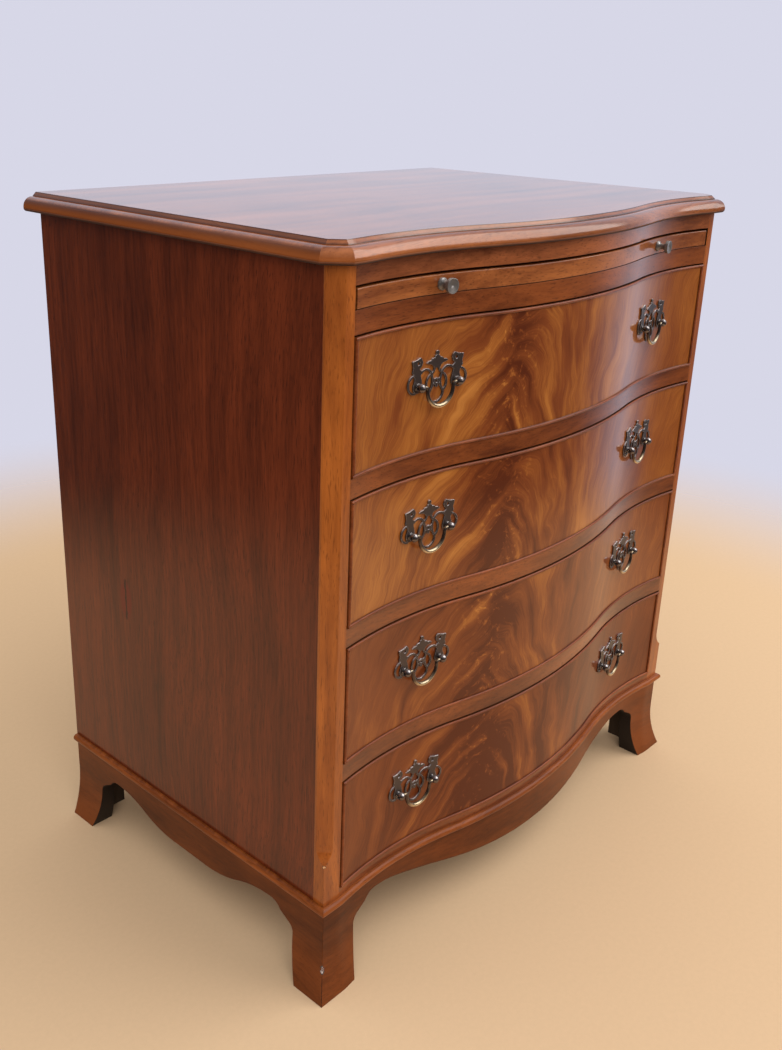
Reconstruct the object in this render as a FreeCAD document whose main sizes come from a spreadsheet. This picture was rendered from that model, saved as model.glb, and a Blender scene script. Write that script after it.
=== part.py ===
import FreeCAD, Part
import math
import os
from types import SimpleNamespace
import Sketcher
from FreeCAD import Placement, Rotation, Vector

# Serpentine chest of four drawers with a brushing slide, in millimetres.
# Bench frame: X to the right, Y from the front of the corner posts to the back, Z up from the floor.
# Every piece is then moved along Y so that the origin lies under the middle of the chest.

SIZES = {
    # Carcase
    "carcase_width": 690.0,        # across the outer faces of the sides
    "carcase_depth": 452.0,        # front of the corner posts to the back edge of the sides
    "side_thick": 18.0,
    "post_width": 24.0,            # corner post, seen from the front
    "post_depth": 15.0,
    "post_chamfer": 12.5,          # leg of the stopped chamfer
    "chamfer_stop": 167.0,         # height of the point where the chamfer runs out
    "chamfer_scoop": 28.0,         # radius of the run-out
    "back_thick": 8.0,
    "back_rebate": 10.0,           # lap of the back in each side
    "bottom_thick": 12.0,
    # Plan of the serpentine front
    "bulge": 25.0,                 # the middle stands this far before the corner posts
    "convex_radius": 615.0,
    "concave_radius": 440.0,
    "ease_radius": 60.0,           # eases the hollow into the flat front of the posts
    # Heights of the front, from the floor up
    "skirt_height": 107.5,
    "rail_thick": 20.0,
    "drawer_opening": 132.5,
    "slide_rail_thick": 22.0,
    "slide_opening": 21.5,
    "frieze_thick": 19.0,
    "rail_depth": 62.0,            # back edge of the rails
    # Top board
    "top_thick": 20.0,
    "overhang": 11.5,              # nose beyond the sides and the front
    "back_overhang": 15.0,
    "top_cant": 21.0,              # leg of the canted front corners at the nose
    "step_height": 4.5,            # raised field above the moulded edge
    "step_inset": 12.5,            # foot of the raised field, from the nose
    "step_bevel": 4.0,
    "nose_radius": 11.0,
    "under_radius": 4.0,
    # Skirt and bracket feet
    "skirt_thick": 18.0,
    "foot_flare": 12.5,            # the feet splay this far at the floor
    "flare_height": 65.0,
    "foot_width": 51.0,            # carcase corner to the inner edge of a foot, at its ankle
    "foot_taper": 10.0,            # the inner edge follows the splay this far at the floor
    "front_foot_width": 45.5,      # the same of the front feet, seen from the side
    "front_foot_taper": 15.0,
    "front_arch": 89.0,            # crown of the arches beside the feet, above the floor
    "side_arch": 82.0,
    "ankle_drop": 27.0,            # ankles below the crown
    "ankle_radius": 12.0,
    "shelf_run": 20.0,             # from the ankle to the cusp at the end of its shelf
    "drop_height": 58.5,           # middle of the skirt above the floor
    "front_ogee": 255.0,           # run of the curve from an arch to the drop
    "side_ogee": 112.0,
    "bracket_length": 95.0,        # rear foot brackets
    "bracket_waist": 45.0,
    "block_size": 22.0,            # glue blocks behind the feet
    "block_clear": 15.0,           # blocks end this far above the floor
    "moulding_height": 9.5,
    "moulding_projection": 6.0,
    # Runners
    "runner_width": 30.0,
    "guide_height": 14.0,
    "stop_length": 30.0,
    "stop_depth": 14.0,
    "stop_thick": 5.0,
    "stop_place": 120.0,           # drawer stops, from the centre line
    # Drawers
    "drawer_gap": 1.5,             # at the ends and the top
    "running_gap": 0.3,            # under what slides, and before its stops
    "drawer_length": 425.0,        # front plane to the back of the drawer box
    "front_thick": 20.0,
    "bead_thick": 3.2,             # cock bead
    "bead_proud": 2.2,
    "bead_depth": 10.0,
    "drawer_side_thick": 10.0,
    "drawer_side_height": 116.0,
    "drawer_back_thick": 10.0,
    "drawer_back_drop": 8.0,       # back lower than the sides
    "drawer_bottom_thick": 6.0,
    "pin_width": 3.0,              # dovetail pins at their narrow end
    "pin_slope": 0.17,             # each cheek of a pin leans this much
    "groove_height": 9.0,
    "groove_depth": 5.0,
    "groove_play": 0.3,
    # Brushing slide
    "slide_thick": 18.5,
    "slide_gap": 3.0,
    "slide_round": 1.2,            # eased front edges
    "slide_length": 400.0,
    "slide_guide_height": 12.0,
    # Handles
    "handle_inset": 118.0,         # middle of a handle, from the inner edge of the post
    "handle_rise": 3.5,            # bolt axes above the middle of the drawer front
    "bolt_spacing": 51.0,
    "plate_seat": 0.25,            # plate clear of the polish
    "plate_thick": 1.6,
    "plate_bar": 2.0,              # width of the bars in the openwork
    "bolt_radius": 2.0,
    "bolt_play": 0.4,
    "bolt_tail": 5.0,              # thread beyond the nut
    "collar_radius": 3.8,
    "collar_thick": 0.8,
    "neck_radius": 2.75,
    "ball_radius": 4.5,
    "ball_reach": 7.6,             # ball centre before the drawer front
    "nut_radius": 4.6,
    "nut_thick": 4.0,
    "bail_radius": 1.7,            # section of the bail at its pins
    "bail_swell": 2.4,             # and at the middle of its curve
    "bail_play": 0.3,
    "bail_bend": 3.0,
    "bail_sweep": 17.0,            # radius of the bail's curve
    "bail_leg": 0.8,
    # Knobs of the slide
    "knob_inset": 120.0,           # from the inner edge of the post
    "knob_radius": 7.3,
    "knob_length": 15.0,
    "knob_foot_radius": 6.0,
    "knob_foot_thick": 1.6,
    "knob_waist_radius": 3.2,
    "knob_rim": 3.6,               # thickness of the head at its rim
    "knob_dish": 1.4,
    "knob_shank_radius": 1.8,
    "knob_shank_length": 16.0,
}

DRAWERS = 4
FRONT_TAILS = 3                    # dovetails at each end of a drawer front
BACK_TAILS = 3
SHELF_SLOPE = math.radians(30)     # shelf between an ankle and its arch
CUSP_SLOPE = math.radians(60)      # start of the arch at the cusp
FRONT_CROWN = 0.14                 # share of the curve from arch to drop that belongs to the arch
SIDE_CROWN = 0.5
SIDES = {"left": -1, "right": 1}
MARGIN = 20.0                      # cutting tools reach this far past the wood
NEAR = 1e-3                        # lengths that differ by less are the same

doc = FreeCAD.newDocument("serpentine_chest")
dims = doc.addObject("Spreadsheet::Sheet", "dims")
for row, (alias, number) in enumerate(SIZES.items(), start=1):
    dims.set(f"A{row}", alias)
    dims.set(f"B{row}", str(number))
    dims.setAlias(f"B{row}", alias)
doc.recompute()
size = SimpleNamespace(**{alias: float(dims.get(alias)) for alias in SIZES})

# Openwork of a handle plate about its middle, x and z with the bolt axes level with z = 0.
# Outlines are drawn whole; curved bars run through three points and stand on the right half.
FAN = (
    (0.0, 28.6), (2.6, 27.4), (3.6, 25.6), (6.6, 25.2), (8.2, 23.4), (11.6, 23.0), (14.2, 21.4), (11.4, 20.2),
    (8.2, 19.8), (5.4, 18.0), (3.8, 15.6), (-3.8, 15.6), (-5.4, 18.0), (-8.2, 19.8), (-11.4, 20.2), (-14.2, 21.4),
    (-11.6, 23.0), (-8.2, 23.4), (-6.6, 25.2), (-3.6, 25.6), (-2.6, 27.4))
FAN_BALL = (0.0, 30.2, 2.1)
EAR = (
    (19.6, 2.0), (20.6, 7.0), (22.0, 11.0), (19.8, 14.4), (23.8, 17.2), (20.6, 20.0), (19.4, 23.4), (20.6, 26.2),
    (22.6, 28.2), (27.4, 26.4), (33.8, 25.6), (33.2, 22.0), (32.2, 18.8), (33.4, 14.6), (30.4, 11.4), (29.6, 7.0),
    (31.4, 2.0))
EAR_EYE = (25.2, 22.8, 1.8)
BOLT_ROUND = 6.3
BARS = (
    ((28.6, 11.6), (38.4, 2.8), (28.0, -6.0)),     # outer loop
    ((21.4, 12.8), (13.8, 15.6), (6.9, 10.0)),     # scroll between the ear and the vase
    ((2.9, 16.6), (4.0, 12.6), (6.9, 10.0)),       # neck of the vase
    ((6.9, 10.0), (13.4, 1.2), (9.2, -8.0)),       # pointed oval, outer side
    ((6.9, 10.0), (5.2, 1.2), (9.2, -8.0)),        # pointed oval, inner side
    ((2.0, 3.2), (3.8, 4.0), (5.6, 5.4)),          # lattice
    ((2.0, 0.8), (3.8, -0.6), (6.0, -3.0)),
)
LATTICE_RING = ((-2.4, 2.0), (0.0, 4.4), (2.4, 2.0)), ((-2.4, 2.0), (0.0, -0.4), (2.4, 2.0))
LATTICE_DROP = (0.0, -2.0, 1.7)
FOOT_RING = ((-9.2, -8.0), (0.0, -18.6), (9.2, -8.0))

# Places that several pieces share, as expressions on the sheet
CENTRING = "-(dims.carcase_depth + dims.back_overhang - dims.bulge - dims.overhang) / 2"
HALF_WIDTH = "dims.carcase_width / 2"
INNER_WALL = "(dims.carcase_width / 2 - dims.side_thick)"
POST_EDGE = "(dims.carcase_width / 2 - dims.post_width)"
BACK_FACE = "(dims.carcase_depth - dims.back_thick)"
FRONT_HEIGHT = "(dims.drawer_opening - dims.drawer_gap - dims.running_gap)"


def opening_base(drawer):
    """Height of the rail that a drawer stands on, as an expression; drawer 1 is the top one."""
    pitch = "(dims.drawer_opening + dims.rail_thick)"
    return f"(dims.skirt_height + dims.rail_thick + {DRAWERS - drawer} * {pitch})"


SLIDE_RAIL_BASE = f"({opening_base(0)} - dims.rail_thick)"
SLIDE_BASE = f"({SLIDE_RAIL_BASE} + dims.slide_rail_thick)"
FRIEZE_BASE = f"({SLIDE_BASE} + dims.slide_opening)"
TOP_BASE = f"({FRIEZE_BASE} + dims.frieze_thick)"
CARCASE_HEIGHT = f"({TOP_BASE} - dims.skirt_height)"


def mm(expression):
    """Value of an expression on the sheet."""
    return float(dims.evalExpression(expression))


half_width = mm(HALF_WIDTH)
inner_wall = mm(INNER_WALL)
post_edge = mm(POST_EDGE)
back_face = mm(BACK_FACE)
front_height = mm(FRONT_HEIGHT)
drawer_half = post_edge - size.drawer_gap
box_half = drawer_half - size.drawer_side_thick
handle_x = post_edge - size.handle_inset
knob_x = post_edge - size.knob_inset

nodes = []


def node(piece, label, height="0"):
    """Name a finished piece and set it in the chest."""
    piece.Label = label
    piece.setExpression("Placement.Base.y", CENTRING)
    piece.setExpression("Placement.Base.z", height)
    nodes.append(piece)
    return piece


# The serpentine front line

def serpentine():
    """Circles of the right half of the front line: convex middle, hollow and ease.

    The hollow's circle touches the middle one and passes through the inner edge of the post.
    The ease touches the hollow and the flat front of the post.
    """
    middle = Vector(0, size.convex_radius - size.bulge, 0)
    corner = Vector(post_edge, 0, 0)
    reach = size.convex_radius + size.concave_radius
    span = corner - middle
    along = (reach ** 2 - size.concave_radius ** 2 + span.Length ** 2) / (2 * span.Length)
    across = math.sqrt(reach ** 2 - along ** 2)
    unit = span / span.Length
    hollow = middle + unit * along + Vector(unit.y, -unit.x, 0) * across
    rise = size.ease_radius - hollow.y
    run = math.sqrt((size.concave_radius + size.ease_radius) ** 2 - rise ** 2)
    ease = Vector(hollow.x + run, size.ease_radius, 0)
    return middle, hollow, ease


MIDDLE, HOLLOW, EASE = serpentine()


def front_stretches(offset):
    """Stretches of the front line from the centre outwards, moved forward by offset.

    Each is the x where it ends, its circle's centre and radius, and +1 for a hollow or -1.
    """
    convex = size.convex_radius + offset
    concave = size.concave_radius - offset
    first = MIDDLE + (HOLLOW - MIDDLE) * (convex / (HOLLOW - MIDDLE).Length)
    second = HOLLOW + (EASE - HOLLOW) * (concave / (EASE - HOLLOW).Length)
    return [
        (first.x, MIDDLE, convex, -1),
        (second.x, HOLLOW, concave, 1),
        (EASE.x, EASE, size.ease_radius + offset, -1),
    ]


def front_y(x, offset=0.0):
    """Y of the front line at x, moved forward by offset."""
    for end, centre, radius, turn in front_stretches(offset):
        if abs(x) <= end:
            return centre.y + turn * math.sqrt(radius ** 2 - (abs(x) - centre.x) ** 2)
    return -offset


def arc_between(start, end, centre):
    """Arc of less than a half turn between two points, laid counter-clockwise."""
    radius = (start - centre).Length
    first = math.atan2(start.y - centre.y, start.x - centre.x)
    last = math.atan2(end.y - centre.y, end.x - centre.x)
    if math.sin(last - first) < 0:
        first, last = last, first
    circle = Part.Circle(centre, Vector(0, 0, 1), radius)
    return Part.ArcOfCircle(circle, first, last)


def front_line(offset, x_from, x_to):
    """Edges of the front line between two x values, with its first and last points."""
    right = front_stretches(offset)
    left = [(Vector(-centre.x, centre.y, 0), turn) for end, centre, radius, turn in right]
    ends = [end for end, centre, radius, turn in right]
    knots = [-end for end in reversed(ends)] + ends
    centres = [None] + [centre for centre, turn in reversed(left[1:])]
    centres += [centre for end, centre, radius, turn in right] + [None]
    cuts = [x_from] + [x for x in knots if x_from < x < x_to] + [x_to]
    points = [Vector(x, front_y(x, offset), 0) for x in cuts]
    edges = []
    for start, end in zip(points, points[1:]):
        stretch = sum(1 for x in knots if x < (start.x + end.x) / 2)
        centre = centres[stretch]
        edges.append(Part.LineSegment(start, end) if centre is None else arc_between(start, end, centre))
    return edges, points[0], points[-1]


def lines_through(points):
    """Straight edges through a row of points."""
    return [Part.LineSegment(start, end) for start, end in zip(points, points[1:])]


def polygon(*corners):
    """Closed outline of straight edges; corners are pairs of numbers."""
    points = [Vector(x, y, 0) for x, y in corners]
    return lines_through(points + points[:1])


def serpentine_outline(offset, x_from, x_to, *back):
    """Closed outline: the front line, then straight edges through the back corners."""
    edges, first, last = front_line(offset, x_from, x_to)
    corners = [Vector(x, y, 0) for x, y in back]
    return edges + lines_through([last] + corners + [first])


def serpentine_band(outer, inner, half):
    """Closed outline between two lines parallel to the front."""
    front, front_first, front_last = front_line(outer, -half, half)
    rear, rear_first, rear_last = front_line(inner, -half, half)
    ends = [Part.LineSegment(front_last, rear_last), Part.LineSegment(rear_first, front_first)]
    return front + rear + ends


# Bodies, sketches and features

def new_body(name):
    """Empty body."""
    return doc.addObject("PartDesign::Body", name)


def sketch_on(body, plane, edges, offset="0", name="outline"):
    """Sketch on one of the body's own planes, moved along its normal by an expression."""
    sketch = body.newObject("Sketcher::SketchObject", name)
    support = [face for face in body.Origin.OriginFeatures if face.Role == plane]
    sketch.AttachmentSupport = [(support[0], "")]
    sketch.MapMode = "FlatFace"
    sketch.setExpression("AttachmentOffset.Base.z", offset)
    sketch.addGeometry(edges, False)
    ends = [(index, end) for index in range(len(edges)) for end in (1, 2)]
    free = {key: sketch.getPoint(*key) for key in ends if not isinstance(edges[key[0]], Part.Circle)}
    while free:
        key, point = free.popitem()
        for other, place in list(free.items()):
            if (place - point).Length < NEAR:
                sketch.addConstraint(Sketcher.Constraint("Coincident", *key, *other))
                del free[other]
                break
    return sketch


def pad(body, sketch, length, backwards=False):
    """Pad a sketch by an expression."""
    feature = body.newObject("PartDesign::Pad", "pad")
    feature.Profile = sketch
    feature.setExpression("Length", length)
    feature.Reversed = backwards
    return feature


def pocket(body, sketch, length, backwards=False, both_ways=False):
    """Cut a sketch into the body by an expression; a cut that takes nothing off is an error."""
    doc.recompute()
    before = body.Shape.Volume
    feature = body.newObject("PartDesign::Pocket", "pocket")
    feature.Profile = sketch
    feature.setExpression("Length", length)
    feature.Reversed = backwards
    if both_ways:
        feature.SideType = "Symmetric"
    doc.recompute()
    if body.Shape.Volume > before - NEAR:
        raise RuntimeError(f"{body.Label}: a pocket cuts nothing")
    return feature


def sweep(body, profile, path):
    """Carry a profile along a path."""
    feature = body.newObject("PartDesign::AdditivePipe", "sweep")
    feature.Profile = profile
    feature.Spine = (path, [f"Edge{index}" for index in range(1, path.GeometryCount + 1)])
    return feature


def turned(name, edges):
    """Body turned about the Y axis from half a profile, x being the radius."""
    body = new_body(name)
    profile = sketch_on(body, "XY_Plane", edges, name="profile")
    feature = body.newObject("PartDesign::Revolution", "turning")
    feature.Profile = profile
    feature.ReferenceAxis = (profile, ["V_Axis"])
    feature.Angle = 360.0
    return body


def slab(name, edges, base, length):
    """Body padded upwards from a plan outline at a height."""
    body = new_body(name)
    pad(body, sketch_on(body, "XY_Plane", edges, base), length)
    return body


def box(name, x, y, z, length, width, height):
    """Box whose corner and sides are expressions, in the bench frame."""
    piece = doc.addObject("Part::Box", name)
    for side, expression in zip(("Length", "Width", "Height"), (length, width, height)):
        piece.setExpression(side, expression)
    for axis, expression in zip("xyz", (x, y, z)):
        piece.setExpression(f"Placement.Base.{axis}", expression)
    return piece


def group(name, pieces):
    """Several separate solids as one piece."""
    compound = doc.addObject("Part::Compound", name)
    compound.Links = pieces
    return compound


def placed(piece, placement):
    """Copy of a piece at another place."""
    copy = group(f"{piece.Name}_copy", [piece])
    copy.Placement = placement
    return copy


def cut(name, base, tool):
    """Base with a tool taken out."""
    result = doc.addObject("Part::Cut", name)
    result.Base = base
    result.Tool = tool
    return result


def fused(name, first, second):
    """Two pieces of wood worked as one."""
    result = doc.addObject("Part::Fuse", name)
    result.Base = first
    result.Tool = second
    result.Refine = True
    return result


def common(name, first, second):
    """What two pieces share."""
    result = doc.addObject("Part::Common", name)
    result.Base = first
    result.Tool = second
    return result


def edges_where(shape, test):
    """Names of the edges that pass a test."""
    return [f"Edge{index}" for index, edge in enumerate(shape.Edges, start=1) if test(edge)]


def finish_edges(body, kind, sizes, test):
    """Fillet or chamfer the body's edges that pass a test."""
    doc.recompute()
    base = body.Tip
    feature = body.newObject(f"PartDesign::{kind}", kind.lower())
    feature.Base = (base, edges_where(base.Shape, test))
    for name, expression in sizes.items():
        feature.setExpression(name, expression)
    doc.recompute()
    return feature


# Carcase

def carcase_side(side, sign):
    """Side board, rebated along its back edge for the back panel."""
    outer = sign * half_width
    inner = sign * inner_wall
    lap = sign * (inner_wall + size.back_rebate)
    edges = polygon(
        (inner, size.post_depth), (outer, size.post_depth), (outer, size.carcase_depth),
        (lap, size.carcase_depth), (lap, back_face), (inner, back_face))
    node(slab(f"{side}_side", edges, "dims.skirt_height", CARCASE_HEIGHT), f"{side}_side")


def corner_post(side, sign):
    """Corner post with a stopped chamfer that runs out in a scoop."""
    ends = sorted((sign * post_edge, sign * half_width))
    edges = serpentine_outline(0.0, *ends, (ends[1], size.post_depth), (ends[0], size.post_depth))
    body = slab(f"{side}_corner_post", edges, "dims.skirt_height", CARCASE_HEIGHT)
    depth = size.post_chamfer / math.sqrt(2)
    run_out = math.sqrt(size.chamfer_scoop ** 2 - (size.chamfer_scoop - depth) ** 2)
    full = size.chamfer_stop + run_out
    above = mm(TOP_BASE) + MARGIN
    scoop_centre = Vector(size.chamfer_scoop - depth, full, 0)
    start = Vector(-depth, full, 0)
    end = Vector(0, size.chamfer_stop, 0)
    rim = [end, Vector(MARGIN, size.chamfer_stop, 0), Vector(MARGIN, above, 0), Vector(-depth, above, 0), start]
    profile = sketch_on(body, "XZ_Plane", [arc_between(start, end, scoop_centre)] + lines_through(rim))
    turn = Rotation(Vector(0, 1, 0), -90 + sign * 45)
    profile.AttachmentOffset = Placement(Vector(sign * half_width, 0, 0), turn)
    profile.setExpression("AttachmentOffset.Base.x", f"{sign} * {HALF_WIDTH}")
    pocket(body, profile, "4 * dims.post_chamfer", both_ways=True)
    node(body, f"{side}_corner_post")


def rail(name, base, height):
    """Front rail: serpentine before, housed behind the corner posts."""
    edges = serpentine_outline(
        0.0, -post_edge, post_edge,
        (post_edge, size.post_depth), (inner_wall, size.post_depth), (inner_wall, size.rail_depth),
        (-inner_wall, size.rail_depth), (-inner_wall, size.post_depth), (-post_edge, size.post_depth))
    return slab(name, edges, base, height)


def back_and_bottom():
    """Back panel in the rebates of the sides, and the bottom board behind the lowest rail."""
    reach = f"({INNER_WALL} + dims.back_rebate)"
    back = box(
        "back_sheet", f"-{reach}", BACK_FACE, "dims.skirt_height",
        f"2 * {reach}", "dims.back_thick", CARCASE_HEIGHT)
    bottom = box(
        "bottom_sheet", f"-{INNER_WALL}", "dims.rail_depth", f"{opening_base(DRAWERS)} - dims.bottom_thick",
        f"2 * {INNER_WALL}", f"{BACK_FACE} - dims.rail_depth", "dims.bottom_thick")
    node(group("back", [back]), "back_panel")
    node(group("bottom", [bottom]), "bottom_board")


def runner_strip(name, sign, base, height, width):
    """Strip along a side, from the rails to the back."""
    x = f"{INNER_WALL} - ({width})" if sign > 0 else f"-{INNER_WALL}"
    return box(name, x, "dims.rail_depth", base, width, f"{BACK_FACE} - dims.rail_depth", height)


def runners():
    """Runners level with the rails, guides that fill behind the posts, and kickers under the top."""
    guide_width = "dims.post_width - dims.side_thick"
    strips = []
    for side, sign in SIDES.items():
        for drawer in range(1, DRAWERS + 1):
            base = opening_base(drawer)
            guide = runner_strip(f"guide_{drawer}_{side}", sign, base, "dims.guide_height", guide_width)
            if drawer == DRAWERS:
                strips.append(guide)
                continue
            bearer = runner_strip(
                f"runner_{drawer}_{side}", sign, f"{base} - dims.rail_thick", "dims.rail_thick",
                "dims.runner_width")
            strips.append(fused(f"drawer_runner_{drawer}_{side}", bearer, guide))
        guide = runner_strip(f"slide_guide_{side}", sign, SLIDE_BASE, "dims.slide_guide_height", guide_width)
        bearer = runner_strip(
            f"slide_bearer_{side}", sign, SLIDE_RAIL_BASE, "dims.slide_rail_thick", "dims.runner_width")
        strips.append(fused(f"slide_runner_{side}", bearer, guide))
        strips.append(runner_strip(
            f"kicker_{side}", sign, FRIEZE_BASE, "dims.frieze_thick", "dims.runner_width"))
    node(group("all_runners", strips), "runners")


def drawer_stops():
    """Stops glued to the rails, just behind the drawer fronts and under the drawer bottoms."""
    far = size.stop_place + size.stop_length / 2
    face = front_y(far, -size.front_thick)
    stops = []
    for drawer in range(1, DRAWERS + 1):
        for side, sign in SIDES.items():
            stop = box(
                f"stop_{drawer}_{side}", f"{sign} * dims.stop_place - dims.stop_length / 2",
                f"{face} + dims.running_gap", opening_base(drawer),
                "dims.stop_length", "dims.stop_depth", "dims.stop_thick")
            stops.append(stop)
    node(group("stops", stops), "drawer_stops")


# Top board

def top_outline(inset):
    """Plan of the top: serpentine front, canted front corners, straight sides and back."""
    leg = size.top_cant - inset * (2 - math.sqrt(2))
    edge = half_width + size.overhang - inset
    front = size.overhang - inset
    back = size.carcase_depth + size.back_overhang
    return serpentine_outline(
        front, leg - edge, edge - leg,
        (edge, leg - front), (edge, back), (-edge, back), (-edge, leg - front))


def top_board():
    """Top with a thumb moulding round the front and sides, and a raised field with a bevelled step."""
    body = new_body("top_board")
    field_base = f"({TOP_BASE} + dims.top_thick - dims.step_height)"
    back = size.carcase_depth + size.back_overhang

    def moulded(level):
        def test(edge):
            extent = edge.BoundBox
            flat = max(abs(extent.ZMin - level), abs(extent.ZMax - level)) < NEAR
            return flat and extent.YMin < back - NEAR
        return test

    pad(body, sketch_on(body, "XY_Plane", top_outline(0.0), TOP_BASE), "dims.top_thick - dims.step_height")
    finish_edges(body, "Fillet", {"Radius": "dims.nose_radius"}, moulded(mm(field_base)))
    finish_edges(body, "Fillet", {"Radius": "dims.under_radius"}, moulded(mm(TOP_BASE)))
    field = sketch_on(body, "XY_Plane", top_outline(size.step_inset), field_base, "field")
    pad(body, field, "dims.step_height")
    finish_edges(body, "Chamfer", {"Size": "dims.step_bevel"}, moulded(mm(TOP_BASE) + size.top_thick))
    node(body, "top_board")


# Skirt, feet and base moulding

def skirt_section():
    """Section of the skirt, x inwards from its face: upright above, splayed below."""
    radius = (size.foot_flare ** 2 + size.flare_height ** 2) / (2 * size.foot_flare)
    top = Vector(0, size.skirt_height, 0)
    start = Vector(0, size.flare_height, 0)
    toe = Vector(-size.foot_flare, 0, 0)
    heel = Vector(size.skirt_thick, 0, 0)
    inner = Vector(size.skirt_thick, size.skirt_height, 0)
    flare = arc_between(start, toe, Vector(-radius, size.flare_height, 0))
    return [Part.LineSegment(top, start), flare] + lines_through([toe, heel, inner, top])


def moulding_section():
    """Section of the base moulding, x inwards from the carcase face: a torus with a flat back."""
    half = size.moulding_height / 2
    flat = size.moulding_projection - half
    low = Vector(0, size.skirt_height, 0)
    high = Vector(0, size.skirt_height + size.moulding_height, 0)
    low_nose = low - Vector(flat, 0, 0)
    high_nose = high - Vector(flat, 0, 0)
    tip = Vector(-size.moulding_projection, size.skirt_height + half, 0)
    centre = Vector(-flat, size.skirt_height + half, 0)
    round_nose = [arc_between(low_nose, tip, centre), arc_between(tip, high_nose, centre)]
    return lines_through([high_nose, high, low, low_nose]) + round_nose


def front_run(name, section):
    """Section carried along the front line, past both corners."""
    body = new_body(name)
    reach = half_width + size.foot_flare + MARGIN
    path = sketch_on(body, "XY_Plane", front_line(0.0, -reach, reach)[0], name="path")
    profile = sketch_on(body, "YZ_Plane", section, str(-reach), "section")
    sweep(body, profile, path)
    return body


def side_run(name, section, sign):
    """Section carried straight along a side, from before the corner to the back."""
    body = new_body(name)
    edges = [edge.copy() for edge in section]
    lead = size.foot_flare + MARGIN
    profile = sketch_on(body, "XZ_Plane", edges, str(lead), "section")
    pad(body, profile, f"dims.carcase_depth + {lead}", backwards=True)
    run = placed(body, Placement(Vector(-half_width, 0, 0), Rotation()))
    return run if sign < 0 else mirrored(run)


def mirrored(piece):
    """Piece mirrored across the middle of the chest."""
    mirror = doc.addObject("Part::Mirroring", f"{piece.Name}_mirror")
    mirror.Source = piece
    mirror.Normal = Vector(1, 0, 0)
    return mirror


def mitre_plan(name):
    """Plan of what the front runs keep: all that lies before the two mitres."""
    out = size.foot_flare + 2 * MARGIN
    deep = size.carcase_depth / 4
    edges = polygon(
        (-half_width - out, -out), (half_width + out, -out), (half_width - deep, deep), (deep - half_width, deep))
    return slab(name, edges, "-1", f"{TOP_BASE}")


def skirt_end(at, half_span, foot, arch, curve):
    """One end of a skirt's elevation, from the top outside to the drop: its edges, and where the drop begins.

    A foot is its width and taper, an arch the height of its crown, and a curve its run and the crown's share.
    """
    outer = half_span + size.foot_flare + MARGIN
    ankle = half_span - foot[0]
    ankle_height = arch - size.ankle_drop
    toe = ankle + foot[1]
    splay_radius = (foot[1] ** 2 + ankle_height ** 2) / (2 * foot[1])
    bend = ankle - size.ankle_radius
    shelf = bend + size.ankle_radius * math.sin(SHELF_SLOPE)
    shelf_height = ankle_height + size.ankle_radius * math.cos(SHELF_SLOPE)
    cusp = ankle - size.shelf_run
    cusp_height = shelf_height + (shelf - cusp) * math.tan(SHELF_SLOPE)
    crown_radius = (arch - cusp_height) / (1 - math.cos(CUSP_SLOPE))
    crown = cusp - crown_radius * math.sin(CUSP_SLOPE)
    run = min(curve[0], crown)
    fall = arch - size.drop_height
    radii = (run ** 2 + fall ** 2) / (2 * fall)
    turn = at(crown - curve[1] * run, arch - curve[1] * fall)
    drop = at(crown - run, size.drop_height)
    edges = lines_through([at(outer, size.skirt_height + 1), at(outer, -1), at(toe, -1), at(toe, 0)])
    edges += [
        arc_between(at(toe, 0), at(ankle, ankle_height), at(ankle + splay_radius, ankle_height)),
        arc_between(at(ankle, ankle_height), at(shelf, shelf_height), at(bend, ankle_height)),
        Part.LineSegment(at(shelf, shelf_height), at(cusp, cusp_height)),
        arc_between(at(cusp, cusp_height), at(crown, arch), at(crown, arch - crown_radius)),
        arc_between(at(crown, arch), turn, at(crown, arch - curve[1] * radii)),
        arc_between(turn, drop, drop + Vector(0, (1 - curve[1]) * radii, 0))]
    return edges, drop


def skirt_elevation(middle, half_span, feet, arch, curve):
    """Elevation of a skirt: splayed feet at both ends, shelved arches beside them and a drop in the middle."""
    edges, tops, drops = [], [], []
    for sign, foot in zip((-1, 1), feet):
        def at(x, z):
            return Vector(middle + sign * x, z, 0)
        end, drop = skirt_end(at, half_span, foot, arch, curve)
        edges += end
        tops.append(at(half_span + size.foot_flare + MARGIN, size.skirt_height + 1))
        drops.append(drop)
    edges.append(Part.LineSegment(*tops))
    if (drops[0] - drops[1]).Length > NEAR:
        edges.append(Part.LineSegment(*drops))
    return edges


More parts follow.
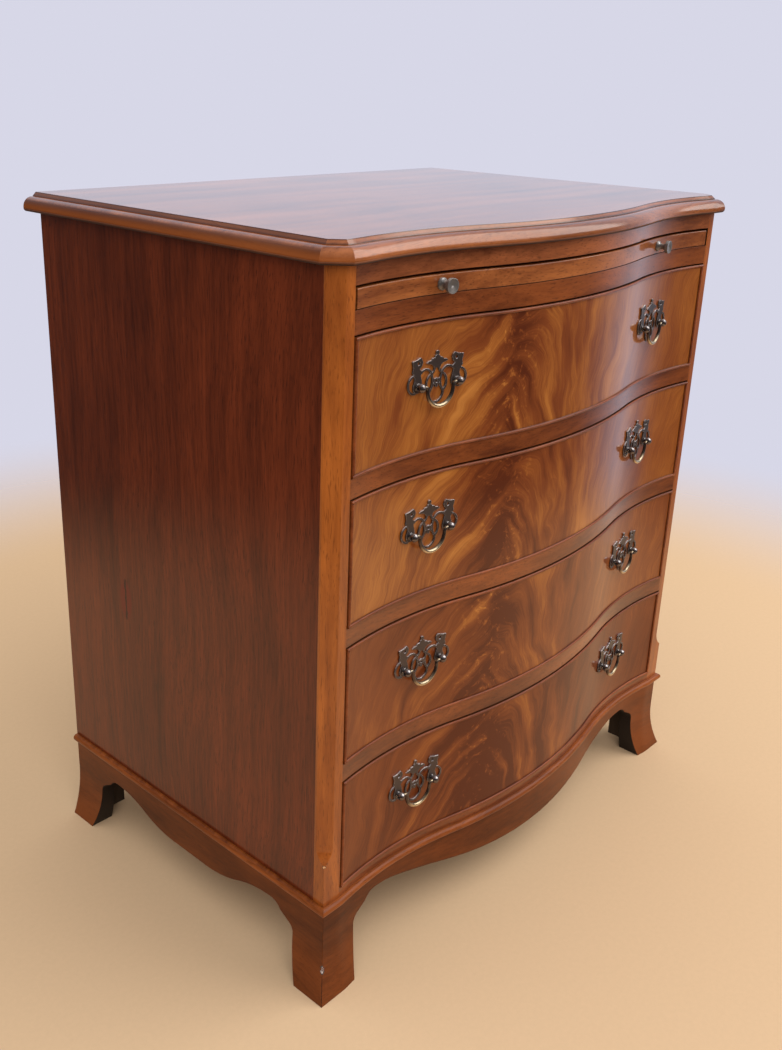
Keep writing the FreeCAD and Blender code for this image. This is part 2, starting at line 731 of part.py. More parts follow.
def skirts_and_moulding():
    """Front and side skirts with splayed bracket feet, and the moulding above, mitred at the corners."""
    plan = mitre_plan("mitre_plan")
    foot = (size.foot_width, size.foot_taper)
    front_foot = (size.front_foot_width, size.front_foot_taper)

    front_view = new_body("front_elevation")
    outline = skirt_elevation(0.0, half_width, (foot, foot), size.front_arch, (size.front_ogee, FRONT_CROWN))
    pad(front_view, sketch_on(front_view, "XZ_Plane", outline, str(4 * MARGIN)), f"{12 * MARGIN}", backwards=True)
    front = common("front_skirt_shaped", front_run("front_skirt_run", skirt_section()), front_view)
    node(common("front_skirt", front, plan), "front_skirt")

    side_view = new_body("side_elevation")
    half_depth = size.carcase_depth / 2
    outline = skirt_elevation(
        half_depth, half_depth, (front_foot, foot), size.side_arch, (size.side_ogee, SIDE_CROWN))
    pad(side_view, sketch_on(side_view, "YZ_Plane", outline, str(-half_width - 4 * MARGIN)),
        f"dims.carcase_width + {8 * MARGIN}")

    strips = [common("front_moulding", front_run("front_moulding_run", moulding_section()), plan)]
    for side, sign in SIDES.items():
        shaped = common(f"{side}_skirt_shaped", side_run(f"{side}_skirt_run", skirt_section(), sign), side_view)
        node(cut(f"{side}_skirt", shaped, plan), f"{side}_skirt")
        strips.append(cut(f"{side}_moulding", side_run(f"{side}_moulding_run", moulding_section(), sign), plan))
    node(group("mouldings", strips), "base_moulding")


def rear_brackets():
    """Shaped brackets that brace the rear feet, between the side skirts."""
    inner = half_width - size.skirt_thick
    brackets = []
    for side, sign in SIDES.items():
        body = new_body(f"rear_bracket_{side}")
        waist = size.bracket_waist
        tip = inner - size.bracket_length
        fall = size.skirt_height - waist
        knee = Vector(sign * (inner - waist), waist, 0)
        end = Vector(sign * tip, size.skirt_height - fall / 2, 0)
        centre = Vector(end.x, end.y - ((knee - end).Length ** 2) / (2 * (end.y - knee.y)), 0)
        rim = [end, Vector(sign * tip, size.skirt_height, 0), Vector(sign * inner, size.skirt_height, 0),
               Vector(sign * inner, 0, 0), Vector(sign * (inner - waist / 2), 0, 0), knee]
        edges = lines_through(rim) + [arc_between(knee, end, centre)]
        profile = sketch_on(body, "XZ_Plane", edges, "-dims.carcase_depth")
        pad(body, profile, "dims.skirt_thick")
        brackets.append(body)
    node(group("rear_brackets", brackets), "rear_foot_brackets")


def foot_blocks():
    """Glue blocks in the corners of the feet."""
    edge = f"({HALF_WIDTH} - dims.skirt_thick)"
    front = f"{front_y(half_width - size.skirt_thick - size.block_size, -size.skirt_thick)} + dims.running_gap"
    rear = "dims.carcase_depth - dims.skirt_thick - dims.block_size"
    blocks = []
    for side, sign in SIDES.items():
        x = f"{edge} - dims.block_size" if sign > 0 else f"-{edge}"
        for place, y in (("front", front), ("rear", rear)):
            blocks.append(box(
                f"block_{place}_{side}", x, y, "dims.block_clear",
                "dims.block_size", "dims.block_size", "dims.skirt_height - dims.block_clear"))
    node(group("blocks", blocks), "foot_blocks")


# Drawers: one is built at floor level, and all four are copies of it

def bolt_places():
    """Middle and direction of the two handles on the front line: side, placement."""
    slope = (front_y(handle_x + 1) - front_y(handle_x - 1)) / 2
    angle = math.degrees(math.atan(slope))
    for side, sign in SIDES.items():
        yield side, Placement(
            Vector(sign * handle_x, front_y(handle_x), front_height / 2 + size.handle_rise),
            Rotation(Vector(0, 0, 1), sign * angle))


def bolt_holes():
    """Drills for the handle bolts, through the front along each handle's own axis."""
    drills = []
    for side, place in bolt_places():
        for sign in (-1, 1):
            drill = doc.addObject("Part::Cylinder", f"drill_{side}")
            drill.setExpression("Radius", "dims.bolt_radius + dims.bolt_play")
            drill.setExpression("Height", f"dims.front_thick + {2 * MARGIN}")
            local = Placement(
                Vector(sign * size.bolt_spacing / 2, -MARGIN, 0), Rotation(Vector(1, 0, 0), -90))
            drill.Placement = place.multiply(local)
            drills.append(drill)
    return group("bolt_drills", drills)


def pin_row(name, narrow_y, wide_y, base, top, tails):
    """Dovetail pins right across the drawer, as many tails between them; each widens from one y to the other."""
    half = size.pin_width / 2
    spread = half + size.pin_slope * abs(wide_y - narrow_y)
    pins = []
    for index in range(tails + 1):
        z = base + (top - base) * index / tails
        outline = polygon((narrow_y, z - half), (wide_y, z - spread), (wide_y, z + spread), (narrow_y, z + half))
        body = new_body(f"{name}_pin")
        pad(body, sketch_on(body, "YZ_Plane", outline, str(-drawer_half)), f"{2 * drawer_half}")
        pins.append(body)
    return group(f"{name}_pins", pins)


def front_pins():
    """Pins of the drawer front, behind its face: the joint stays hidden when the drawer is shut."""
    core = serpentine_band(-size.bead_depth, -size.front_thick, drawer_half)
    row = pin_row("front", 0.0, 2 * size.front_thick, 0.0, size.drawer_side_height, FRONT_TAILS)
    return common("front_joint", row, slab("front_ends", core, "0", "dims.drawer_side_height"))


def back_pins():
    """Pins of the drawer back, right through the sides."""
    base = size.groove_height + size.drawer_bottom_thick
    top = size.drawer_side_height - size.drawer_back_drop
    rear = size.drawer_length
    front = rear - size.drawer_back_thick
    plan = polygon((-drawer_half, front), (drawer_half, front), (drawer_half, rear), (-drawer_half, rear))
    row = pin_row("back", rear, front, base, top, BACK_TAILS)
    return common("back_joint", row, slab("back_ends", plan, str(base), str(top - base)))


def drawer_front(pins):
    """Serpentine front: rebated round its face for the cock bead, dovetailed to the sides, grooved for the bottom."""
    body = new_body("front_board")
    face = serpentine_band(0.0, -size.bead_depth, drawer_half - size.bead_thick)
    core = serpentine_band(-size.bead_depth, -size.front_thick, box_half)
    above = serpentine_band(-size.bead_depth, -size.front_thick, drawer_half)
    pad(body, sketch_on(body, "XY_Plane", core, name="core"), FRONT_HEIGHT)
    pad(body, sketch_on(body, "XY_Plane", face, "dims.bead_thick", "face"), f"{FRONT_HEIGHT} - 2 * dims.bead_thick")
    pad(body, sketch_on(body, "XY_Plane", above, "dims.drawer_side_height", "above"),
        f"{FRONT_HEIGHT} - dims.drawer_side_height")
    wall = size.front_thick - size.groove_depth - size.groove_play
    groove = serpentine_band(-wall, -size.front_thick - MARGIN, box_half + MARGIN / 10)
    sketch = sketch_on(body, "XY_Plane", groove, "dims.groove_height - dims.groove_play / 2", "groove")
    pocket(body, sketch, "dims.drawer_bottom_thick + dims.groove_play", backwards=True)
    return cut("drawer_front", fused("jointed_front", body, pins), bolt_holes())


def bead_section(base):
    """Section of a long bead, x inwards from the drawer's face: a flat strip with a round nose."""
    nose = size.bead_thick / 2
    flat = nose - size.bead_proud
    top = base + size.bead_thick
    low, high = Vector(flat, base, 0), Vector(flat, top, 0)
    tip = Vector(-size.bead_proud, base + nose, 0)
    centre = Vector(flat, base + nose, 0)
    edges = lines_through([high, Vector(size.bead_depth, top, 0), Vector(size.bead_depth, base, 0), low])
    return edges + [arc_between(low, tip, centre), arc_between(tip, high, centre)]


def cock_bead():
    """Round-nosed beads: long ones over the top and under the bottom, short ones between them."""
    nose = size.bead_thick / 2
    flat = size.bead_proud - nose
    reach = size.bulge + MARGIN
    plan = polygon((-drawer_half, -reach), (drawer_half, -reach), (drawer_half, reach), (-drawer_half, reach))
    width = slab("bead_width", plan, "-1", f"{FRONT_HEIGHT} + 2")
    strips = []
    for name, base in (("bottom", 0.0), ("top", front_height - size.bead_thick)):
        strips.append(common(f"bead_{name}", front_run(f"bead_{name}_run", bead_section(base)), width))
    for side, sign in SIDES.items():
        inner, outer = drawer_half - size.bead_thick, drawer_half
        centre = Vector(sign * (inner + nose), front_y(inner + nose) - flat, 0)
        ends = sorted((sign * inner, sign * outer))
        rear, first, last = front_line(-size.bead_depth, *ends)
        left, right = Vector(ends[0], centre.y, 0), Vector(ends[1], centre.y, 0)
        tip = Vector(centre.x, centre.y - nose, 0)
        edges = rear + [arc_between(left, tip, centre), arc_between(tip, right, centre)]
        edges += [Part.LineSegment(first, left), Part.LineSegment(right, last)]
        strips.append(slab(f"bead_{side}", edges, "dims.bead_thick", f"{FRONT_HEIGHT} - 2 * dims.bead_thick"))
    return group("cock_bead", strips)


def drawer_side(side, sign, *joints):
    """Side with tails at both ends that take the pins of the front and back, and a groove for the bottom."""
    ends = sorted((sign * box_half, sign * drawer_half))
    edges = serpentine_outline(
        -size.bead_depth, *ends, (ends[1], size.drawer_length), (ends[0], size.drawer_length))
    body = slab(f"drawer_side_{side}", edges, "0", "dims.drawer_side_height")
    wall = sorted((sign * (box_half - MARGIN / 10), sign * (box_half + size.groove_depth + size.groove_play)))
    outline = polygon(
        (wall[0], 0), (wall[1], 0), (wall[1], size.drawer_length + MARGIN), (wall[0], size.drawer_length + MARGIN))
    sketch = sketch_on(body, "XY_Plane", outline, "dims.groove_height - dims.groove_play / 2", "groove")
    pocket(body, sketch, "dims.drawer_bottom_thick + dims.groove_play", backwards=True)
    return cut(f"tailed_side_{side}", body, group(f"sockets_{side}", joints))


def drawer_bottom():
    """Bottom panel in the grooves of the front and sides, run under the back."""
    half = box_half + size.groove_depth
    edges = serpentine_outline(
        size.groove_depth - size.front_thick, -half, half,
        (half, size.drawer_length), (-half, size.drawer_length))
    return slab("drawer_bottom", edges, "dims.groove_height", "dims.drawer_bottom_thick")


def drawer_back(pins):
    """Back of the drawer box, dovetailed between the sides and set on the bottom."""
    base = "(dims.groove_height + dims.drawer_bottom_thick)"
    half = f"({POST_EDGE} - dims.drawer_gap - dims.drawer_side_thick)"
    board = box(
        "back_board", f"-{half}", "dims.drawer_length - dims.drawer_back_thick", base,
        f"2 * {half}", "dims.drawer_back_thick", f"dims.drawer_side_height - dims.drawer_back_drop - {base}")
    return fused("drawer_back", board, pins)


# Handles: each is built about its own middle, y running into the drawer front

def prism(edges):
    """Outline in the plane of the handle, as a block that reaches past both sides of the drawer front's face."""
    face = Part.Face(Part.Wire([edge.toShape() for edge in edges]))
    face.translate(Vector(0, -MARGIN, 0))
    return face.extrude(Vector(0, 2 * MARGIN, 0))


def band(start, via, end):
    """Curved bar of the plate through three points."""
    points = [Vector(x, 0, z) for x, z in (start, via, end)]
    centre = Part.Arc(*points).toShape().Curve.Center
    inner, outer = (
        [point + (point - centre).normalize() * shift for point in points]
        for shift in (-size.plate_bar / 2, size.plate_bar / 2))
    return prism([
        Part.Arc(*outer), Part.LineSegment(outer[2], inner[2]),
        Part.Arc(*reversed(inner)), Part.LineSegment(inner[0], outer[0])])


def disc(x, z, radius):
    """Round of the plate."""
    return prism([Part.Circle(Vector(x, 0, z), Vector(0, 1, 0), radius)])


def leaf(corners):
    """Straight-sided part of the plate."""
    points = [Vector(x, 0, z) for x, z in corners]
    return prism(lines_through(points + points[:1]))


def plate_fretwork():
    """Openwork of the plate: a fan on a vase of two pointed ovals over a ring, between two tall ears."""
    parts = [leaf(FAN), disc(*FAN_BALL), disc(*LATTICE_DROP), band(*FOOT_RING)]
    parts += [band(*half) for half in LATTICE_RING]
    holes = []
    for sign in SIDES.values():
        bolt = sign * size.bolt_spacing / 2
        parts += [disc(bolt, 0, BOLT_ROUND), leaf([(sign * x, z) for x, z in EAR])]
        parts += [band(*((sign * x, z) for x, z in bar)) for bar in BARS]
        eye_x, eye_z, eye_radius = EAR_EYE
        holes += [disc(sign * eye_x, eye_z, eye_radius), disc(bolt, 0, size.bolt_radius + size.bolt_play)]
    return parts[0].multiFuse(parts[1:]).cut(Part.makeCompound(holes)).removeSplitter()


def back_plate():
    """Pierced plate, bent to lie on the hollow of the drawer front."""
    blank = doc.addObject("Part::Feature", "plate_blank")
    blank.Shape = plate_fretwork()
    shells = []
    seat = "dims.concave_radius - dims.plate_seat"
    for name, radius in (("outer", seat), ("inner", f"{seat} - dims.plate_thick")):
        shell = doc.addObject("Part::Cylinder", f"plate_{name}")
        shell.setExpression("Radius", radius)
        shell.Height = 4 * MARGIN
        shell.setExpression("Placement.Base.y", "-dims.concave_radius")
        shell.Placement.Base.z = -2 * MARGIN
        shells.append(shell)
    return common("back_plate", blank, cut("plate_shell", *shells))


def handle_bolt():
    """Bolt with a ball head, collar and neck, bored across for the bail; y runs into the drawer."""
    face = size.concave_radius - size.plate_seat - size.plate_thick
    seat = size.concave_radius - math.sqrt(face ** 2 - (size.bolt_spacing / 2 + size.collar_radius) ** 2)
    neck_end = size.ball_reach - math.sqrt(size.ball_radius ** 2 - size.neck_radius ** 2)
    tail = size.front_thick + size.nut_thick + size.bolt_tail
    collar = seat + size.collar_thick
    ball = Vector(0, -size.ball_reach, 0)
    start = Vector(size.neck_radius, -neck_end, 0)
    side = ball + Vector(size.ball_radius, 0, 0)
    tip = ball - Vector(0, size.ball_radius, 0)
    shank = [tip, Vector(0, tail, 0), Vector(size.bolt_radius, tail, 0), Vector(size.bolt_radius, -seat, 0),
             Vector(size.collar_radius, -seat, 0), Vector(size.collar_radius, -collar, 0),
             Vector(size.neck_radius, -collar, 0), start]
    edges = lines_through(shank) + [arc_between(start, side, ball), arc_between(side, tip, ball)]
    bore = doc.addObject("Part::Cylinder", "bail_bore")
    bore.setExpression("Radius", "dims.bail_radius + dims.bail_play")
    bore.setExpression("Height", "4 * dims.ball_radius")
    bore.Placement = Placement(Vector(-2 * size.ball_radius, -size.ball_reach, 0), Rotation(Vector(0, 1, 0), 90))
    return cut("handle_bolt", turned("bolt_blank", edges), bore)


def handle_nut():
    """Hexagon nut that draws a bolt against the inside of the drawer front."""
    inside = size.concave_radius + size.front_thick
    near = size.bolt_spacing / 2 - size.nut_radius
    seat = math.sqrt(inside ** 2 - near ** 2) - size.concave_radius
    blank = doc.addObject("Part::Prism", "nut_blank")
    blank.Polygon = 6
    blank.setExpression("Circumradius", "dims.nut_radius")
    blank.setExpression("Height", "dims.nut_thick")
    hole = doc.addObject("Part::Cylinder", "nut_hole")
    hole.setExpression("Radius", "dims.bolt_radius + dims.bolt_play / 4")
    hole.setExpression("Height", "dims.nut_thick")
    nut = cut("handle_nut", blank, hole)
    nut.Placement = Placement(Vector(0, seat, 0), Rotation(Vector(1, 0, 0), -90))
    return nut


def handle_bail():
    """Drop bail: pins in the ball heads, then tight bends into a round sweep that swells to its middle."""
    body = new_body("bail")
    pin = size.bolt_spacing / 2 + size.ball_radius / 2
    leg = size.bail_bend + size.bail_leg
    turn = size.bail_sweep + size.bail_bend
    shoulder = Vector(-turn, 0, 0)
    knee = Vector(-size.bail_sweep, -size.bail_bend, 0)
    foot = Vector(-size.bail_sweep, -leg, 0)
    bottom = Vector(0, -leg - size.bail_sweep, 0)

    def ring(x, z, radius):
        circle = Part.Circle(Vector(-size.ball_reach, z, 0), Vector(0, 0, 1), radius)
        return sketch_on(body, "YZ_Plane", [circle], str(x), "section")

    edges = [
        arc_between(shoulder, knee, Vector(-turn, -size.bail_bend, 0)), Part.LineSegment(knee, foot),
        arc_between(foot, bottom, Vector(0, -leg, 0))]
    path = sketch_on(body, "XZ_Plane", edges, "dims.ball_reach", "path")
    rod = pad(body, ring(-pin, 0.0, size.bail_radius), f"{pin - turn}")
    half = sweep(body, ring(-turn, 0.0, size.bail_radius), path)
    half.Sections = [(ring(0.0, bottom.y, size.bail_swell), [""])]
    half.Transformation = "Multisection"
    mirror = body.newObject("PartDesign::Mirrored", "other_half")
    mirror.Originals = [rod, half]
    mirror.MirrorPlane = ([plane for plane in body.Origin.OriginFeatures if plane.Role == "YZ_Plane"][0], [""])
    body.Tip = mirror
    return body


def drawers():
    """Four drawers, each with its box, bead and two handles."""
    plate, bolt, nut, bail = back_plate(), handle_bolt(), handle_nut(), handle_bail()
    plates, fixings, bails = [], [], {}
    for side, place in bolt_places():
        plates.append(placed(plate, place))
        bails[side] = placed(bail, place)
        for sign in (-1, 1):
            local = place.multiply(Placement(Vector(sign * size.bolt_spacing / 2, 0, 0), Rotation()))
            fixings += [placed(bolt, local), placed(nut, local)]
    joints = front_pins(), back_pins()
    pieces = {
        "front": drawer_front(joints[0]),
        "cock_bead": cock_bead(),
        "left_side": drawer_side("left", -1, *joints),
        "right_side": drawer_side("right", 1, *joints),
        "back": drawer_back(joints[1]),
        "bottom": drawer_bottom(),
        "handle_plates": group("handle_plates", plates),
        "handle_bolts": group("handle_bolts", fixings),
        "left_bail": bails["left"],
        "right_bail": bails["right"],
    }
    for drawer in range(1, DRAWERS + 1):
        for piece, master in pieces.items():
            copy = group(f"drawer_{drawer}_{piece}", [master])
            node(copy, f"drawer_{drawer}_{piece}", f"{opening_base(drawer)} + dims.running_gap")


# Brushing slide

def knob_place(sign):
    """Place of a slide knob, square to the front line."""
    slope = (front_y(knob_x + 1) - front_y(knob_x - 1)) / 2
    angle = math.degrees(math.atan(slope))
    return Placement(
        Vector(sign * knob_x, front_y(knob_x), size.slide_thick / 2),
        Rotation(Vector(0, 0, 1), sign * angle))


def brushing_slide():
    """Sliding board with an eased serpentine front edge, bored for its two knobs."""
    half = post_edge - size.slide_gap
    edges = serpentine_outline(
        0.0, -half, half, (half, size.slide_length), (-half, size.slide_length))
    board = slab("slide_board", edges, "0", "dims.slide_thick")

    def front_edge(edge):
        extent = edge.BoundBox
        return extent.ZLength < NEAR and extent.YMax < size.rail_depth

    finish_edges(board, "Fillet", {"Radius": "dims.slide_round"}, front_edge)
    bores = []
    for side, sign in SIDES.items():
        bore = doc.addObject("Part::Cylinder", f"knob_bore_{side}")
        bore.setExpression("Radius", "dims.knob_shank_radius")
        bore.setExpression("Height", f"dims.knob_shank_length + {MARGIN}")
        bore.Placement = knob_place(sign).multiply(
            Placement(Vector(0, -MARGIN, 0), Rotation(Vector(1, 0, 0), -90)))
        bores.append(bore)
    level = f"{SLIDE_BASE} + dims.running_gap"
    node(cut("brushing_slide", board, group("knob_bores", bores)), "brushing_slide", level)


def slide_knobs():
    """Waisted knobs with a dished face and a shank in the slide."""
    foot, waist, rim = size.knob_foot_radius, size.knob_waist_radius, size.knob_radius
    head = size.knob_length - size.knob_rim
    swell = Vector(rim, -head, 0)
    narrow = Vector(waist, -(size.knob_foot_thick + head) / 2, 0)
    step = Vector(foot, -size.knob_foot_thick, 0)
    face = Vector(rim, -size.knob_length, 0)
    dish = Vector(0, size.knob_dish - size.knob_length, 0)
    back = Vector(0, size.knob_shank_length, 0)
    shank = Vector(size.knob_shank_radius, size.knob_shank_length, 0)
    root = Vector(size.knob_shank_radius, 0, 0)
    edges = lines_through([dish, back, shank, root, Vector(foot, 0, 0), step])
    edges.append(arc_between(step, swell, Part.Arc(step, narrow, swell).toShape().Curve.Center))
    edges += lines_through([swell, face, dish])
    knob = turned("knob", edges)
    pair = [placed(knob, knob_place(sign)) for sign in SIDES.values()]
    node(group("knob_pair", pair), "slide_knobs", f"{SLIDE_BASE} + dims.running_gap")


def build():
    """Make every piece of the chest."""
    for side, sign in SIDES.items():
        carcase_side(side, sign)
        corner_post(side, sign)
    back_and_bottom()
    node(rail("frieze_rail", FRIEZE_BASE, "dims.frieze_thick"), "frieze_rail")
    node(rail("slide_rail", SLIDE_RAIL_BASE, "dims.slide_rail_thick"), "slide_rail")
    dividers = [
        rail(f"rail_under_{drawer}", f"{opening_base(drawer)} - dims.rail_thick", "dims.rail_thick")
        for drawer in range(1, DRAWERS + 1)]
    node(group("rails", dividers), "drawer_rails")
    runners()
    drawer_stops()
    top_board()
    skirts_and_moulding()
    rear_brackets()
    foot_blocks()
    drawers()
    brushing_slide()
    slide_knobs()
    doc.recompute()


def check():
    """Stop on any object that failed or any piece without a sound shape."""
    for item in doc.Objects:
        if "Invalid" in item.State or "Error" in item.State:
            raise RuntimeError(f"{item.Label} failed: {item.State}")
    for piece in nodes:
        if piece.Shape.isNull() or not piece.Shape.isValid() or not piece.Shape.Solids:
            raise RuntimeError(f"{piece.Label} has no sound shape")


def write():
    """Write each piece to its own file, as its plain solids."""
    os.makedirs("parts", exist_ok=True)
    for piece in nodes:
        solids = piece.Shape.Solids
        shape = solids[0] if len(solids) == 1 else Part.makeCompound(solids)
        shape.exportStep(os.path.join("parts", f"{piece.Label}.step"))
        print(f"{piece.Label}: {len(solids)} solid(s), {shape.Volume / 1000:.1f} cm3")


build()
check()
write()
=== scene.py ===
"""Looks of a serpentine chest of drawers: polished mahogany, flame veneer and bronzed handles."""

import logging
from dataclasses import dataclass
from enum import Enum
from typing import ClassVar, Dict, Iterable, List, Optional, Sequence, Tuple, Union

import bpy
import numpy as np
from mathutils import Matrix, Vector


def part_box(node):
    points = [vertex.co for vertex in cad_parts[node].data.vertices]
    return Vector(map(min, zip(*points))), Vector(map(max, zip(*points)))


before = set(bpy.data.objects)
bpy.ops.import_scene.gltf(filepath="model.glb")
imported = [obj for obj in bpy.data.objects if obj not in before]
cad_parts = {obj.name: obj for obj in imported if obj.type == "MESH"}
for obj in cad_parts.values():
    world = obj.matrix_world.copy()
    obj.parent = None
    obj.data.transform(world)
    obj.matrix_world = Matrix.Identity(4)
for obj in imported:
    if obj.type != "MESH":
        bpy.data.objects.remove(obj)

log = logging.getLogger("chest")

Colour = Tuple[float, float, float]
Point = Tuple[float, float, float]
Band = Tuple[float, float]
Socket = bpy.types.NodeSocket
Number = Union[float, Socket]

DRAWERS: Tuple[int, ...] = (1, 2, 3, 4)
HANDS: Tuple[str, ...] = ("left", "right")
# Slice of the noise that gives each drawer's veneer its own flames
FLAME_SEEDS: Dict[int, float] = {1: 3.7, 2: 7.4, 3: 9.1, 4: 21.7}
# y that lies behind every piece
BEHIND_ALL: float = 1.0


class Grain(Enum):
    """Which way the fibres of a board run."""

    ACROSS = "x"
    DEEP = "y"
    UPRIGHT = "z"
    ROUND = "round"


def tinted(colour: Colour, factor: float) -> Colour:
    """Scale a colour."""
    return (colour[0] * factor, colour[1] * factor, colour[2] * factor)


@dataclass(frozen=True)
class Layer:
    """Fractal noise: cells per unit of the point, octaves added, and weight of each finer octave."""

    cells: float
    detail: float = 2.0
    roughness: float = 0.5


class Nodes:
    """Node tree put together socket by socket."""

    def __init__(self, tree: bpy.types.NodeTree) -> None:
        """Start from an empty tree."""
        self.tree = tree
        tree.nodes.clear()

    def add(self, kind: str) -> bpy.types.Node:
        """Add a node of a kind."""
        return self.tree.nodes.new(kind)

    def put(self, socket: Socket, value: Union[Number, Sequence[float]]) -> None:
        """Link a socket, or set its constant.

        Args:
            socket: input to feed.
            value: output to link it to, or the constant.
        """
        if isinstance(value, bpy.types.NodeSocket):
            self.tree.links.new(value, socket)
        else:
            socket.default_value = value

    def split(self, vector: Socket) -> Tuple[Socket, Socket, Socket]:
        """Take a vector apart.

        Args:
            vector: the vector.

        Returns:
            Its x, y and z.
        """
        node = self.add("ShaderNodeSeparateXYZ")
        self.put(node.inputs[0], vector)
        return node.outputs[0], node.outputs[1], node.outputs[2]

    def vector(self, x: Number, y: Number, z: Number) -> Socket:
        """Join three numbers.

        Args:
            x: first number.
            y: second number.
            z: third number.

        Returns:
            The vector.
        """
        node = self.add("ShaderNodeCombineXYZ")
        for socket, value in zip(node.inputs, (x, y, z)):
            self.put(socket, value)
        return node.outputs[0]

    def math(self, operation: str, *values: Number) -> Socket:
        """Work out one arithmetic step.

        Args:
            operation: name of the step.
            values: one, two or three numbers.

        Returns:
            The result.
        """
        node = self.add("ShaderNodeMath")
        node.operation = operation
        for socket, value in zip(node.inputs, values):
            self.put(socket, value)
        return node.outputs[0]

    def total(self, *values: Number) -> Socket:
        """Add up any number of values.

        Args:
            values: the values.

        Returns:
            Their sum.
        """
        result = values[0]
        for value in values[1:]:
            result = self.math("ADD", result, value)
        return result

    def times(self, first: Number, second: Number) -> Socket:
        """Multiply two values."""
        return self.math("MULTIPLY", first, second)

    def scaled(self, value: Number, gain: float, offset: float) -> Socket:
        """Multiply a value by a gain and add an offset."""
        return self.math("MULTIPLY_ADD", value, gain, offset)

    def about(self, value: Number, gain: float) -> Socket:
        """Swing of a value between 0 and 1 about its middle, times a gain."""
        return self.scaled(value, gain, -0.5 * gain)

    def less(self, value: Number) -> Socket:
        """What is left of 1 after a value."""
        return self.math("SUBTRACT", 1.0, value)

    def rise(self, value: Number, low: float, high: float) -> Socket:
        """Smooth step of a value.

        Args:
            value: the value.
            low: where the step is 0.
            high: where the step is 1, which may lie below low.

        Returns:
            The step between 0 and 1.
        """
        node = self.add("ShaderNodeMapRange")
        node.interpolation_type = "SMOOTHSTEP"
        self.put(node.inputs["Value"], value)
        node.inputs["From Min"].default_value = low
        node.inputs["From Max"].default_value = high
        return node.outputs["Result"]

    def hill(self, value: Number, reach: float) -> Socket:
        """Bell curve exp(-(v / r)^2) of a value."""
        part = self.math("DIVIDE", value, reach)
        return self.math("EXPONENT", self.times(self.times(part, part), -1.0))

    def blend(self, factor: Number, first: Number, second: Number) -> Socket:
        """Go from one number to another by a factor."""
        return self.total(self.times(self.less(factor), first), self.times(factor, second))

    def noise(self, where: Socket, layer: Layer) -> Socket:
        """Sample fractal noise.

        Args:
            where: point to sample at.
            layer: kind of noise.

        Returns:
            Noise between 0 and 1.
        """
        node = self.add("ShaderNodeTexNoise")
        self.put(node.inputs["Vector"], where)
        node.inputs["Scale"].default_value = layer.cells
        node.inputs["Detail"].default_value = layer.detail
        node.inputs["Roughness"].default_value = layer.roughness
        return node.outputs[0]

    def ramp(self, factor: Number, stops: Sequence[Tuple[float, Colour]]) -> Socket:
        """Colour a factor by stops along it.

        Args:
            factor: the factor.
            stops: place and colour of each stop, in order.

        Returns:
            The colour.
        """
        node = self.add("ShaderNodeValToRGB")
        elements = node.color_ramp.elements
        while len(elements) < len(stops):
            elements.new(0.5)
        for element, (where, colour) in zip(elements, stops):
            element.position = where
            element.color = (*colour, 1.0)
        self.put(node.inputs[0], factor)
        return node.outputs[0]

    def mix(self, factor: Number, first: Union[Socket, Colour], second: Union[Socket, Colour]) -> Socket:
        """Blend two colours.

        Args:
            factor: share of the second colour.
            first: colour at 0.
            second: colour at 1.

        Returns:
            The blended colour.
        """
        node = self.add("ShaderNodeMix")
        node.data_type = "RGBA"
        sockets = [socket for socket in node.inputs if socket.type == "RGBA"]
        self.put(node.inputs["Factor"], factor)
        for socket, value in zip(sockets, (first, second)):
            self.put(socket, value if isinstance(value, bpy.types.NodeSocket) else (*value, 1.0))
        return [socket for socket in node.outputs if socket.type == "RGBA"][0]


@dataclass(frozen=True)
class Mark:
    """Small flaw: its middle, its reach, how much taller than wide it is, and any pale wood it shows."""

    centre: Point
    reach: float
    tall: float = 1.0
    pale: Optional[Colour] = None


